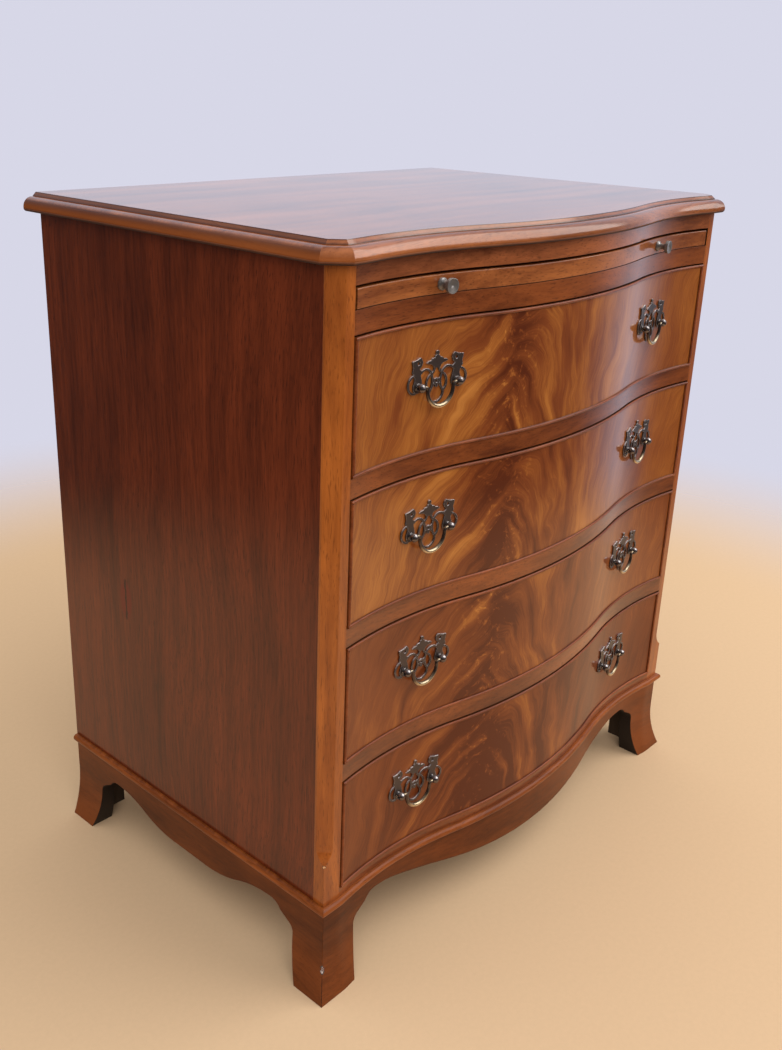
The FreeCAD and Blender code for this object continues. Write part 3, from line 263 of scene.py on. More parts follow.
class Shader(Nodes):
    """Node tree of one finish, which reads the piece's own coordinates."""

    BEVEL_SAMPLES: ClassVar[int] = 4
    # Cosine between flat and eased normal, from a worn edge to a flat
    EDGE_BAND: ClassVar[Band] = (0.72, 0.97)

    def __init__(self, name: str) -> None:
        """Start an empty material.

        Args:
            name: name of the material.
        """
        self.material = bpy.data.materials.new(name)
        self.material.use_nodes = True
        super().__init__(self.material.node_tree)
        self.place: Socket = self.add("ShaderNodeTexCoord").outputs["Object"]
        self.x, self.y, self.z = self.split(self.place)

    def near(self, mark: Mark) -> Socket:
        """Fall from 1 at the middle of a mark to 0 at its rim.

        Args:
            mark: the mark.

        Returns:
            The nearness.
        """
        node = self.add("ShaderNodeVectorMath")
        node.operation = "DISTANCE"
        x, y, z = mark.centre
        self.put(node.inputs[0], self.vector(self.x, self.y, self.times(self.z, 1.0 / mark.tall)))
        node.inputs[1].default_value = (x, y, z / mark.tall)
        return self.less(self.rise(node.outputs["Value"], 0.0, mark.reach))

    def normal(self) -> Tuple[Socket, Socket, Socket]:
        """Give the three parts of the surface's own normal."""
        return self.split(self.add("ShaderNodeNewGeometry").outputs["Normal"])

    def drawn_out(self, grain: Grain, along: float, seed: float, drift: Socket) -> Socket:
        """Draw the piece's coordinates out along its fibres.

        Args:
            grain: which way the fibres run.
            along: scale along the fibres.
            seed: slice of the noise.
            drift: how far the fibres sway from side to side.

        Returns:
            The drawn out coordinates.
        """
        parts = {"x": self.x, "y": self.y, "z": self.z}
        return self.vector(*(
            self.scaled(part, along, seed) if axis == grain.value else self.total(part, drift)
            for axis, part in parts.items()))

    def eased(self, radius: float, below: Optional[float] = None) -> Tuple[Socket, Socket]:
        """Ease the sharp edges of a piece.

        Args:
            radius: how far from an edge the surface starts to turn.
            below: height above which the edges stay sharp.

        Returns:
            The turned normal, and a mask that is 0 on the flats and grows towards an edge.
        """
        bevel = self.add("ShaderNodeBevel")
        bevel.samples = self.BEVEL_SAMPLES
        bevel.inputs["Radius"].default_value = radius
        flat = self.add("ShaderNodeNewGeometry").outputs
        turn = self.add("ShaderNodeVectorMath")
        turn.operation = "DOT_PRODUCT"
        self.put(turn.inputs[0], bevel.outputs[0])
        self.put(turn.inputs[1], flat["True Normal"])
        edge = self.less(self.rise(turn.outputs["Value"], *self.EDGE_BAND))
        if below is None:
            return bevel.outputs[0], edge
        part = self.math("LESS_THAN", self.z, below)
        choice = self.add("ShaderNodeMix")
        choice.data_type = "VECTOR"
        ends = [socket for socket in choice.inputs if socket.type == "VECTOR" and socket.name in "AB"]
        self.put(choice.inputs["Factor"], part)
        self.put(ends[0], flat["Normal"])
        self.put(ends[1], bevel.outputs[0])
        turned = [socket for socket in choice.outputs if socket.type == "VECTOR"][0]
        return turned, self.times(edge, part)

    def bump(self, height: Number, depth: float, under: Optional[Socket] = None) -> Socket:
        """Turn a height between 0 and 1 into a bumped normal.

        Args:
            height: the height.
            depth: metres that a height of 1 stands for.
            under: normal that the bumps lie on.

        Returns:
            The bumped normal.
        """
        node = self.add("ShaderNodeBump")
        node.inputs["Strength"].default_value = 1.0
        node.inputs["Distance"].default_value = depth
        self.put(node.inputs["Height"], height)
        if under is not None:
            self.put(node.inputs["Normal"], under)
        return node.outputs[0]

    def surface(
            self, colour: Socket, roughness: Number, bump: Optional[Socket] = None,
            **constants: float) -> bpy.types.Material:
        """Close the tree with one shader.

        Args:
            colour: base colour.
            roughness: roughness under any coat.
            bump: bumped normal.
            constants: further sockets, with underscores for spaces.

        Returns:
            The finished material.
        """
        shader = self.add("ShaderNodeBsdfPrincipled")
        self.put(shader.inputs["Base Color"], colour)
        self.put(shader.inputs["Roughness"], roughness)
        if bump is not None:
            self.put(shader.inputs["Normal"], bump)
        for name, value in constants.items():
            shader.inputs[name.replace("_", " ")].default_value = value
        output = self.add("ShaderNodeOutputMaterial")
        self.put(output.inputs["Surface"], shader.outputs[0])
        return self.material


@dataclass(frozen=True)
class Mahogany:
    """French-polished mahogany with ribbon figure, fibres and pores, rubbed along its edges, and painted
    shade where it is asked for.
    """

    name: str
    grain: Grain
    dark: Colour
    light: Colour
    seed: float = 0.0
    ribbon: float = 26.0                        # ribbons per metre across the grain
    stretch: float = 16.0                       # how much longer than wide the figure is
    polish: float = 0.07                        # roughness of the polish
    coat: float = 1.0                           # weight of the polish
    relief: float = 0.00005                     # depth of the pores
    figure: float = 0.8                         # swing of the tone by ribbons
    fine: float = 0.4                           # swing of the tone by fibres
    pored: float = 0.5                          # how much the pores darken
    edge: float = 0.0011                        # radius of the eased edges
    sharp_above: Optional[float] = None         # height above which edges stay sharp
    wear: float = 0.3                           # how pale the edges are rubbed
    knots: Tuple[Mark, ...] = ()
    chips: Tuple[Mark, ...] = ()
    shade_lines: Tuple[Tuple[float, float], ...] = ()  # level and reach of each line of painted shade
    stain_and_shade: Optional[float] = None             # y before which a face to the front is shown polished; faces that look neither forwards nor outwards get painted shade
    hidden_shade: Colour = (0.016, 0.010, 0.008)       # painted shade for the faces that are hidden in gaps and recesses when closed, darker than the wood
    hidden_shade_turn: Band = (0.3, 0.6)               # how far a face has to look outwards to be polished
    low_shade: float = 0.0                           # painted shade: how much darker the wood gets downwards
    toe: float = 0.0                            # how much paler the wood gets near the floor

    DRIFT: ClassVar[Layer] = Layer(3.5, 1.0)
    DRIFT_REACH: ClassVar[float] = 0.05
    SIDE_TURN: ClassVar[float] = 0.7
    RIBBON_DETAIL: ClassVar[float] = 3.0
    RIBBON_ROUGHNESS: ClassVar[float] = 0.55
    FIBRES: ClassVar[Layer] = Layer(260.0, 3.0, 0.6)
    PORES: ClassVar[Layer] = Layer(950.0, 1.0)
    PORE_BAND: ClassVar[Band] = (0.56, 0.74)
    PORE_SHADE: ClassVar[float] = 0.45
    PORE_DEPTH: ClassVar[float] = 0.7
    CLOUDS: ClassVar[Layer] = Layer(4.5)
    CLOUD_SWING: ClassVar[float] = 0.5
    PATCHES: ClassVar[Layer] = Layer(85.0, 3.0, 0.65)
    PATCH_BAND: ClassVar[Band] = (0.35, 0.62)
    LOW_SHADE_BAND: ClassVar[Band] = (0.75, 0.12)
    TOE_BAND: ClassVar[Band] = (0.075, 0.02)
    MIDDLE_TONE: ClassVar[float] = 0.5
    MIDDLE_SHARE: ClassVar[float] = 2.1
    STOPS: ClassVar[Tuple[float, float, float]] = (0.27, 0.5, 0.75)
    KNOT_WOBBLE: ClassVar[Layer] = Layer(90.0, 3.0)
    KNOT_WOBBLE_REACH: ClassVar[float] = 0.008
    KNOT_RED: ClassVar[Colour] = (0.75, 0.9, 0.8)
    KNOT_BAND: ClassVar[Band] = (0.05, 0.5)
    KNOT_STRENGTH: ClassVar[float] = 0.8
    CRACK_REACH: ClassVar[float] = 0.0016
    CRACK_BAND: ClassVar[Band] = (0.1, 0.3)
    CRACK_SHADE: ClassVar[float] = 0.1
    UPWARD_BAND: ClassVar[Band] = (-0.35, 0.0)
    RUBBED_TINT: ClassVar[float] = 1.5
    CHIP_RAGS: ClassVar[Layer] = Layer(420.0, 3.0)
    CHIP_BAND: ClassVar[Band] = (0.36, 0.52)
    CHIP_RIM: ClassVar[Band] = (0.1, 0.3)
    CHIP_RIM_SHADE: ClassVar[float] = 0.1
    CHIP_HEART: ClassVar[Band] = (0.35, 0.6)
    CHIP_EDGE: ClassVar[Band] = (0.05, 0.4)
    CHIP_DARK: ClassVar[Colour] = (0.02, 0.013, 0.014)
    FLAT_BAND: ClassVar[Band] = (0.93, 0.99)
    # Strength and darkness of the painted shade lines
    SHADE_LINE_STRENGTH: ClassVar[float] = 0.92
    SHADE_LINE_TONE: ClassVar[float] = 0.08
    # Gain by the fibres and base of the roughness under the polish
    UNDER_POLISH: ClassVar[Tuple[float, float]] = (0.14, 0.32)

    def lay(self, shader: Shader) -> Socket:
        """Give coordinates drawn out along the fibres, swaying a little from side to side.

        Args:
            shader: tree of the finish.

        Returns:
            The drawn out coordinates.
        """
        along = 1.0 / self.stretch
        drift = shader.about(shader.noise(shader.place, self.DRIFT), self.DRIFT_REACH)
        if self.grain is not Grain.ROUND:
            return shader.drawn_out(self.grain, along, self.seed, drift)
        beside = shader.math("GREATER_THAN", shader.math("ABSOLUTE", shader.normal()[0]), self.SIDE_TURN)
        run = shader.blend(beside, shader.x, shader.y)
        deep = shader.blend(beside, shader.y, shader.x)
        return shader.vector(
            shader.scaled(run, along, self.seed), shader.total(deep, drift), shader.total(shader.z, drift))

    def figured(self, shader: Shader, lay: Socket, fibre: Socket, pores: Socket) -> Socket:
        """Colour the wood by ribbons and fibres, broken by dark pores.

        Args:
            shader: tree of the finish.
            lay: coordinates drawn out along the fibres.
            fibre: noise of the fibres.
            pores: mask of the pores.

        Returns:
            The colour.
        """
        ribbon = shader.noise(lay, Layer(self.ribbon, self.RIBBON_DETAIL, self.RIBBON_ROUGHNESS))
        cloud = shader.noise(shader.place, self.CLOUDS)
        # Painted shade darker towards the bottom, and paler near the floor.
        low = shader.total(
            shader.times(shader.rise(shader.z, *self.LOW_SHADE_BAND), -self.low_shade),
            shader.times(shader.rise(shader.z, *self.TOE_BAND), self.toe))
        tone = shader.total(
            self.MIDDLE_TONE, low, shader.about(ribbon, self.figure), shader.about(fibre, self.fine),
            shader.about(cloud, self.CLOUD_SWING))
        middle = tuple((a + b) / self.MIDDLE_SHARE for a, b in zip(self.dark, self.light))
        colour = shader.ramp(tone, tuple(zip(self.STOPS, (self.dark, middle, self.light))))
        return shader.mix(shader.times(pores, self.pored), colour, tinted(self.dark, self.PORE_SHADE))

    def knotted(self, shader: Shader, colour: Socket) -> Socket:
        """Draw the knots: a red heart with a dark upright crack.

        Args:
            shader: tree of the finish.
            colour: colour so far.

        Returns:
            The colour with the knots.
        """
        light, green, blue = self.KNOT_RED
        red = (self.light[0] * light, self.dark[1] * green, self.dark[2] * blue)
        for knot in self.knots:
            heart = shader.near(knot)
            wobble = shader.about(shader.noise(shader.place, self.KNOT_WOBBLE), self.KNOT_WOBBLE_REACH)
            crack = shader.hill(shader.total(shader.y, -knot.centre[1], wobble), self.CRACK_REACH)
            tinge = shader.times(shader.rise(heart, *self.KNOT_BAND), self.KNOT_STRENGTH)
            colour = shader.mix(tinge, colour, red)
            split = shader.times(crack, shader.rise(heart, *self.CRACK_BAND))
            colour = shader.mix(split, colour, tinted(self.dark, self.CRACK_SHADE))
        return colour

    def rubbed(self, shader: Shader, colour: Socket, edge: Socket, patchy: Socket) -> Socket:
        """Rub the edges pale in patches, except where they look down.

        Args:
            shader: tree of the finish.
            colour: colour so far.
            edge: mask of the edges.
            patchy: noise of the patches.

        Returns:
            The colour with the wear.
        """
        above = shader.rise(shader.normal()[2], *self.UPWARD_BAND)
        worn = shader.times(shader.times(edge, above), shader.rise(patchy, *self.PATCH_BAND))
        return shader.mix(shader.times(worn, self.wear), colour, tinted(self.light, self.RUBBED_TINT))

    def chipped(
            self, shader: Shader, colour: Socket, height: Socket, edge: Socket) -> Tuple[Socket, Socket]:
        """Knock the chips out.

        Args:
            shader: tree of the finish.
            colour: colour so far.
            height: height so far.
            edge: mask of the edges.

        Returns:
            The colour and the height with the chips.
        """
        for chip in self.chips:
            ragged = shader.noise(shader.place, self.CHIP_RAGS)
            broken = shader.times(shader.near(chip), shader.rise(ragged, *self.CHIP_BAND))
            if chip.pale is not None:
                rim = tinted(chip.pale, self.CHIP_RIM_SHADE)
                colour = shader.mix(shader.rise(broken, *self.CHIP_RIM), colour, rim)
                colour = shader.mix(shader.rise(broken, *self.CHIP_HEART), colour, chip.pale)
            else:
                bruised = shader.rise(shader.times(broken, edge), *self.CHIP_EDGE)
                colour = shader.mix(bruised, colour, self.CHIP_DARK)
            height = shader.math("SUBTRACT", height, broken)
        return colour, height

    def shade_lined(self, shader: Shader, colour: Socket) -> Socket:
        """Paint lines of shade, on slopes only.

        Args:
            shader: tree of the finish.
            colour: colour so far.

        Returns:
            The colour with the dirt.
        """
        # Each line is painted shade in a crease or under an overhang.
        for level, reach in self.shade_lines:
            slope = shader.less(shader.rise(shader.normal()[2], *self.FLAT_BAND))
            line = shader.times(shader.hill(shader.total(shader.z, -level), reach), slope)
            line_shade = shader.times(line, self.SHADE_LINE_STRENGTH)
            colour = shader.mix(line_shade, colour, tinted(self.dark, self.SHADE_LINE_TONE))
        return colour

    def shaded(self, shader: Shader, colour: Socket) -> Socket:
        """Paint shade on the faces that look neither forwards nor outwards, which sit in gaps and recesses.

        Args:
            shader: tree of the finish.
            colour: colour so far.

        Returns:
            The colour with the stain.
        """
        if self.stain_and_shade is None:
            return colour
        facing = shader.normal()
        ahead = shader.times(facing[1], shader.math("LESS_THAN", shader.y, self.stain_and_shade))
        beside = shader.times(facing[0], shader.math("SIGN", shader.x))
        outside = shader.math("MAXIMUM", shader.times(ahead, -1.0), beside)
        return shader.mix(shader.rise(outside, *self.hidden_shade_turn), self.hidden_shade, colour)

    def finish(
            self, shader: Shader, colour: Socket, fibre: Socket, patchy: Socket,
            bumps: Socket) -> bpy.types.Material:
        """Lay the polish over the wood.

        Args:
            shader: tree of the finish.
            colour: colour of the wood.
            fibre: noise of the fibres.
            patchy: noise of the worn patches; not used here.
            bumps: bumped normal.

        Returns:
            The finished material.
        """
        rough = shader.scaled(fibre, *self.UNDER_POLISH)
        return shader.surface(
            colour, rough, bumps, Coat_Weight=self.coat, Coat_Roughness=self.polish, Coat_IOR=1.4,
            IOR=1.48, Specular_IOR_Level=0.12)

    def material(self) -> bpy.types.Material:
        """Build the finish, from the figure to the polish.

        Returns:
            The finished material.
        """
        shader = Shader(self.name)
        lay = self.lay(shader)
        fibre = shader.noise(lay, self.FIBRES)
        pores = shader.rise(shader.noise(lay, self.PORES), *self.PORE_BAND)
        patchy = shader.noise(shader.place, self.PATCHES)
        colour = self.knotted(shader, self.figured(shader, lay, fibre, pores))
        under, edge = shader.eased(self.edge, self.sharp_above)
        colour = self.rubbed(shader, colour, edge, patchy)
        height = shader.less(shader.times(pores, self.PORE_DEPTH))
        colour, height = self.chipped(shader, colour, height, edge)
        colour = self.shaded(shader, self.shade_lined(shader, colour))
        return self.finish(shader, colour, fibre, patchy, shader.bump(height, self.relief, under))


@dataclass(frozen=True)
class TopMahogany(Mahogany):
    """Mahogany of the top: a mirror-like field, and a softer nose that is rubbed along its crest, with a
    painted highlight there and painted light and shade on its ends.
    """

    CREST_TURN: ClassVar[float] = 0.35
    CREST_REACH: ClassVar[float] = 0.4
    FRONT_BAND: ClassVar[Band] = (-0.2, -0.7)
    LEFT_HIGHLIGHT_BAND: ClassVar[Band] = (0.05, -0.25)
    LEFT_HIGHLIGHT_GAIN: ClassVar[Tuple[float, float]] = (0.6, 0.2)
    CREST_PATCHES: ClassVar[Tuple[float, float]] = (0.8, -0.05)
    CREST_WEAR_AND_HIGHLIGHT_TINT: ClassVar[float] = 1.6
    END_BAND: ClassVar[Band] = (0.5, 0.8)
    END_STRENGTH: ClassVar[float] = 0.8
    FLANK_TURN: ClassVar[float] = 0.1
    FLANK_REACH: ClassVar[float] = 0.38
    FLANK_LIT: ClassVar[Colour] = (0.72, 0.56, 0.32)
    FLANK_SHADE: ClassVar[float] = 0.7
    FIELD_BAND: ClassVar[Band] = (0.80, 0.97)
    UNDER_BAND: ClassVar[Band] = (-0.12, -0.4)
    NOSE_ROUGHNESS: ClassVar[float] = 0.15
    UNDER_ROUGHNESS: ClassVar[float] = 0.95
    FIBRE_ROUGHNESS: ClassVar[float] = 0.04

    def finish(
            self, shader: Shader, colour: Socket, fibre: Socket, patchy: Socket,
            bumps: Socket) -> bpy.types.Material:
        """Rub the nose and paint a highlight along its crest, paint light and shade on its ends, and polish
        the field.

        Args:
            shader: tree of the finish.
            colour: colour of the wood.
            fibre: noise of the fibres.
            patchy: noise of the worn patches.
            bumps: bumped normal.

        Returns:
            The finished material.
        """
        facing = shader.normal()
        # Crest of the nose: partly wear, partly a painted highlight, stronger towards the left.
        crest = shader.times(
            shader.hill(shader.total(facing[2], -self.CREST_TURN), self.CREST_REACH),
            shader.rise(facing[1], *self.FRONT_BAND))
        crest = shader.times(crest, shader.scaled(shader.rise(shader.x, *self.LEFT_HIGHLIGHT_BAND), *self.LEFT_HIGHLIGHT_GAIN))
        crest = shader.times(crest, shader.scaled(patchy, *self.CREST_PATCHES))
        colour = shader.mix(crest, colour, tinted(self.light, self.CREST_WEAR_AND_HIGHLIGHT_TINT))
        # Ends of the nose: painted light and shade across the round, lit where it faces a little upwards and
        # darker above and below.
        end = shader.rise(shader.math("ABSOLUTE", facing[0]), *self.END_BAND)
        warm = tuple(a * b for a, b in zip(self.light, self.FLANK_LIT))
        flank_light = shader.hill(shader.total(facing[2], -self.FLANK_TURN), self.FLANK_REACH)
        lit_and_shaded_flank = shader.mix(flank_light, tinted(self.dark, self.FLANK_SHADE), warm)
        colour = shader.mix(shader.times(end, self.END_STRENGTH), colour, lit_and_shaded_flank)
        field = shader.rise(facing[2], *self.FIELD_BAND)
        under_nose = shader.rise(facing[2], *self.UNDER_BAND)
        gloss = shader.blend(
            under_nose, shader.blend(field, self.NOSE_ROUGHNESS, self.polish), self.UNDER_ROUGHNESS)
        rough = shader.total(gloss, shader.times(fibre, self.FIBRE_ROUGHNESS))
        return shader.surface(colour, rough, bumps, IOR=1.5, Specular_IOR_Level=0.95)


@dataclass(frozen=True)
class Streak:
    """Noise drawn out along leaning lines: cells per metre across, and how much longer than wide they are."""

    cells: float
    length: float
    detail: float
    roughness: float


@dataclass(frozen=True)
class FlameVeneer:
    """Crotch veneer of a drawer front: flames fan out from a dark upright column.

    With u measured across from the column and h up from the middle of the front, a streak follows
    q = u - t(u) h. Left of the column it leans by t = 1.25 exp(-(u / 0.14)^2). Right of it
    t = -1.7 exp(-u / 0.042) + 0.32 s(u), so that the arches there turn upright and then lean outwards.
    """

    name: str
    middle: float                               # height of the middle of the front
    seed: float
    column: float = -0.112                      # x of the column
    dark: Colour = (0.092, 0.0175, 0.004)
    brown: Colour = (0.205, 0.050, 0.0105)
    orange: Colour = (0.37, 0.121, 0.022)
    gold: Colour = (0.55, 0.215, 0.045)
    core: Colour = (0.23, 0.105, 0.052)         # bare wood behind the veneer
    depth: float = 0.0                          # painted shade: how much darker than the first drawer it is
    coat: float = 1.0                           # weight of the polish

    STREAKS: ClassVar[Tuple[Streak, ...]] = (
        Streak(40.0, 4.5, 1.5, 0.45), Streak(105.0, 6.0, 2.0, 0.5), Streak(620.0, 20.0, 3.0, 0.6),
        Streak(1250.0, 24.0, 1.0, 0.5))
    SWAY: ClassVar[Layer] = Layer(12.0)
    SWAY_REACH: ClassVar[float] = 0.052
    CURL: ClassVar[Layer] = Layer(44.0)
    CURL_REACH: ClassVar[float] = 0.009
    LIFT: ClassVar[Layer] = Layer(15.0)
    LIFT_REACH: ClassVar[float] = 0.04
    LEFT_LEAN: ClassVar[float] = 1.25
    LEFT_REACH: ClassVar[float] = 0.14
    BOW_LEAN: ClassVar[float] = -1.7
    BOW_REACH: ClassVar[float] = 0.042
    OUTER_LEAN: ClassVar[float] = 0.32
    OUTER_BAND: ClassVar[Band] = (0.10, 0.26)
    RIGHT_SLICE: ClassVar[float] = 0.6
    SEAM_BAND: ClassVar[Band] = (-0.011, 0.011)
    # How far the flames reach left and right of the column
    SPREAD: ClassVar[Tuple[float, float]] = (0.135, 0.20)
    SHOWN: ClassVar[Tuple[float, float]] = (0.88, 0.12)
    CLOUDS: ClassVar[Layer] = Layer(7.0, 3.0)
    FOLDS: ClassVar[float] = 4.0
    FLAME_SWING: ClassVar[float] = 1.25
    FEATHER_SWING: ClassVar[float] = 0.46
    FOLD_SWING: ClassVar[float] = 0.06
    FIBRE_SWING: ClassVar[float] = 0.36
    CLOUD_SWING: ClassVar[float] = 0.40
    STALK_REACH: ClassVar[float] = 0.034
    STALK_GAIN: ClassVar[Tuple[float, float]] = (-0.55, 0.02)
    FLECKS: ClassVar[Layer] = Layer(130.0, 4.0, 0.65)
    FLECK_BAND: ClassVar[Band] = (0.52, 0.68)
    FLECK_REACH: ClassVar[float] = 0.036
    FLECK_GAIN: ClassVar[float] = 0.30
    MIDDLE_TONE: ClassVar[float] = 0.49
    PORE_BAND: ClassVar[Band] = (0.58, 0.76)
    PORE_STRENGTH: ClassVar[float] = 0.35
    PORE_DEPTH: ClassVar[float] = 0.6
    STOPS: ClassVar[Tuple[float, ...]] = (0.12, 0.38, 0.60, 0.86)
    RINGS: ClassVar[Layer] = Layer(240.0, 3.0)
    RING_ALONG: ClassVar[float] = 0.05
    RING_SHADE: ClassVar[float] = 0.72
    FACE_TURN: ClassVar[float] = -0.6
    FACE_ROUGHNESS: ClassVar[float] = -0.24
    FIBRE_ROUGHNESS: ClassVar[float] = 0.1
    BARE_ROUGHNESS: ClassVar[float] = 0.58
    RELIEF: ClassVar[float] = 0.00003

    def streaks(
            self, shader: Shader, across: Number, height: Number, lean: Number, seed: float) -> List[Socket]:
        """Sample noise along leaning lines.

        Args:
            shader: tree of the finish.
            across: distance from the column.
            height: height from the middle of the front.
            lean: how far the lines move across for each metre up.
            seed: slice of the noise.

        Returns:
            Broad flames, narrower feathers, fibres and pores.
        """
        line = shader.math("SUBTRACT", across, shader.times(lean, height))
        samples = []
        for streak in self.STREAKS:
            where = shader.vector(
                shader.times(line, streak.cells), shader.times(height, streak.cells / streak.length), seed)
            samples.append(shader.noise(where, Layer(1.0, streak.detail, streak.roughness)))
        return samples

    def figure(self, shader: Shader) -> Tuple[Socket, Socket, Socket]:
        """Work out the figure.

        Args:
            shader: tree of the finish.

        Returns:
            The veneer's tone, its fibres and its pores.
        """
        flat = shader.vector(shader.x, self.seed, shader.z)
        turned = shader.vector(shader.z, shader.x, self.seed)
        sway = shader.about(shader.noise(flat, self.SWAY), self.SWAY_REACH)
        curl = shader.about(shader.noise(flat, self.CURL), self.CURL_REACH)
        lift = shader.about(shader.noise(turned, self.LIFT), self.LIFT_REACH)
        across = shader.total(shader.x, -self.column, sway, curl)
        height = shader.total(shader.z, -self.middle, lift)
        beyond = shader.math("MAXIMUM", across, 0.0)
        left_lean = shader.times(shader.hill(across, self.LEFT_REACH), self.LEFT_LEAN)
        bow = shader.math("EXPONENT", shader.math("DIVIDE", beyond, -self.BOW_REACH))
        right_lean = shader.total(
            shader.times(bow, self.BOW_LEAN),
            shader.times(shader.rise(beyond, *self.OUTER_BAND), self.OUTER_LEAN))
        left = self.streaks(shader, across, height, left_lean, self.seed)
        right = self.streaks(shader, across, height, right_lean, self.seed + self.RIGHT_SLICE)
        side = shader.rise(across, *self.SEAM_BAND)
        flame, feather, fibre, pore = (shader.blend(side, a, b) for a, b in zip(left, right))
        reach = shader.blend(side, *self.SPREAD)
        shown = shader.scaled(shader.hill(shader.math("DIVIDE", across, reach), 1.0), *self.SHOWN)
        cloud = shader.noise(flat, self.CLOUDS)
        folds = shader.math("FRACT", shader.times(flame, self.FOLDS))
        swing = shader.total(
            shader.about(flame, self.FLAME_SWING), shader.about(feather, self.FEATHER_SWING),
            shader.about(folds, self.FOLD_SWING))
        stalk = shader.times(
            shader.hill(across, self.STALK_REACH), shader.scaled(feather, *self.STALK_GAIN))
        curls = shader.noise(shader.vector(across, self.seed, height), self.FLECKS)
        flecks = shader.times(
            shader.rise(curls, *self.FLECK_BAND),
            shader.times(shader.hill(across, self.FLECK_REACH), self.FLECK_GAIN))
        # The painted shade of the lower drawers lowers the tone.
        tone = shader.total(
            self.MIDDLE_TONE - self.depth, shader.times(swing, shown), stalk, flecks,
            shader.about(fibre, self.FIBRE_SWING), shader.about(cloud, self.CLOUD_SWING))
        return tone, fibre, shader.rise(pore, *self.PORE_BAND)

    def material(self) -> bpy.types.Material:
        """Build the finish: the veneer on the face, bare wood on every other side.

        Returns:
            The finished material.
        """
        shader = Shader(self.name)
        tone, fibre, pores = self.figure(shader)
        veneer = shader.ramp(tone, tuple(zip(self.STOPS, (self.dark, self.brown, self.orange, self.gold))))
        veneer = shader.mix(shader.times(pores, self.PORE_STRENGTH), veneer, self.dark)
        along = shader.vector(shader.times(shader.x, self.RING_ALONG), shader.y, shader.z)
        bare = shader.mix(shader.noise(along, self.RINGS), tinted(self.core, self.RING_SHADE), self.core)
        face = shader.math("LESS_THAN", shader.normal()[1], self.FACE_TURN)
        colour = shader.mix(face, bare, veneer)
        rough = shader.total(
            shader.times(face, self.FACE_ROUGHNESS), shader.times(fibre, self.FIBRE_ROUGHNESS),
            self.BARE_ROUGHNESS)
        bumps = shader.bump(shader.less(shader.times(pores, self.PORE_DEPTH)), self.RELIEF)
        return shader.surface(
            colour, rough, bumps, Coat_Weight=self.coat, Coat_Roughness=0.05, Coat_IOR=1.42, IOR=1.48,
            Specular_IOR_Level=0.1)


@dataclass(frozen=True)
class BareWood:
    """Unpolished wood of the hidden work, with rings drawn out along the board."""

    name: str
    grain: Grain
    dark: Colour
    light: Colour
    seed: float = 0.0

    ALONG: ClassVar[float] = 0.05
    SWAY: ClassVar[Layer] = Layer(4.0)
    SWAY_REACH: ClassVar[float] = 0.06
    RINGS: ClassVar[Layer] = Layer(70.0, 3.0, 0.6)
    RING_SHARE: ClassVar[float] = 0.65
    FIBRES: ClassVar[Layer] = Layer(520.0, 3.0, 0.65)
    FIBRE_SHARE: ClassVar[float] = 0.35
    STOPS: ClassVar[Band] = (0.3, 0.7)
    SOIL: ClassVar[Layer] = Layer(6.0, 4.0, 0.6)
    SOIL_BAND: ClassVar[Band] = (0.5, 0.75)
    SOIL_STRENGTH: ClassVar[float] = 0.3
    SOIL_SHADE: ClassVar[float] = 0.5
    EDGE: ClassVar[float] = 0.0009
    EDGE_STRENGTH: ClassVar[float] = 0.35
    EDGE_SHADE: ClassVar[float] = 0.6
    # Gain by the fibres and base of the roughness
    DULLNESS: ClassVar[Tuple[float, float]] = (0.2, 0.5)
    RELIEF: ClassVar[float] = 0.00012

    def material(self) -> bpy.types.Material:
        """Build the finish: rings, fibres and grey handling marks on a dull surface.

        Returns:
            The finished material.
        """
        shader = Shader(self.name)
        sway = shader.about(shader.noise(shader.place, self.SWAY), self.SWAY_REACH)
        lay = shader.drawn_out(self.grain, self.ALONG, self.seed, sway)
        ring = shader.noise(lay, self.RINGS)
        fibre = shader.noise(lay, self.FIBRES)
        tone = shader.total(shader.times(ring, self.RING_SHARE), shader.times(fibre, self.FIBRE_SHARE))
        colour = shader.ramp(tone, tuple(zip(self.STOPS, (self.dark, self.light))))
        soil = shader.rise(shader.noise(shader.place, self.SOIL), *self.SOIL_BAND)
        colour = shader.mix(
            shader.times(soil, self.SOIL_STRENGTH), colour, tinted(self.dark, self.SOIL_SHADE))
        under, edge = shader.eased(self.EDGE)
        colour = shader.mix(
            shader.times(edge, self.EDGE_STRENGTH), colour, tinted(self.dark, self.EDGE_SHADE))
        return shader.surface(
            colour, shader.scaled(fibre, *self.DULLNESS), shader.bump(fibre, self.RELIEF, under), IOR=1.45,
            Specular_IOR_Level=0.3)


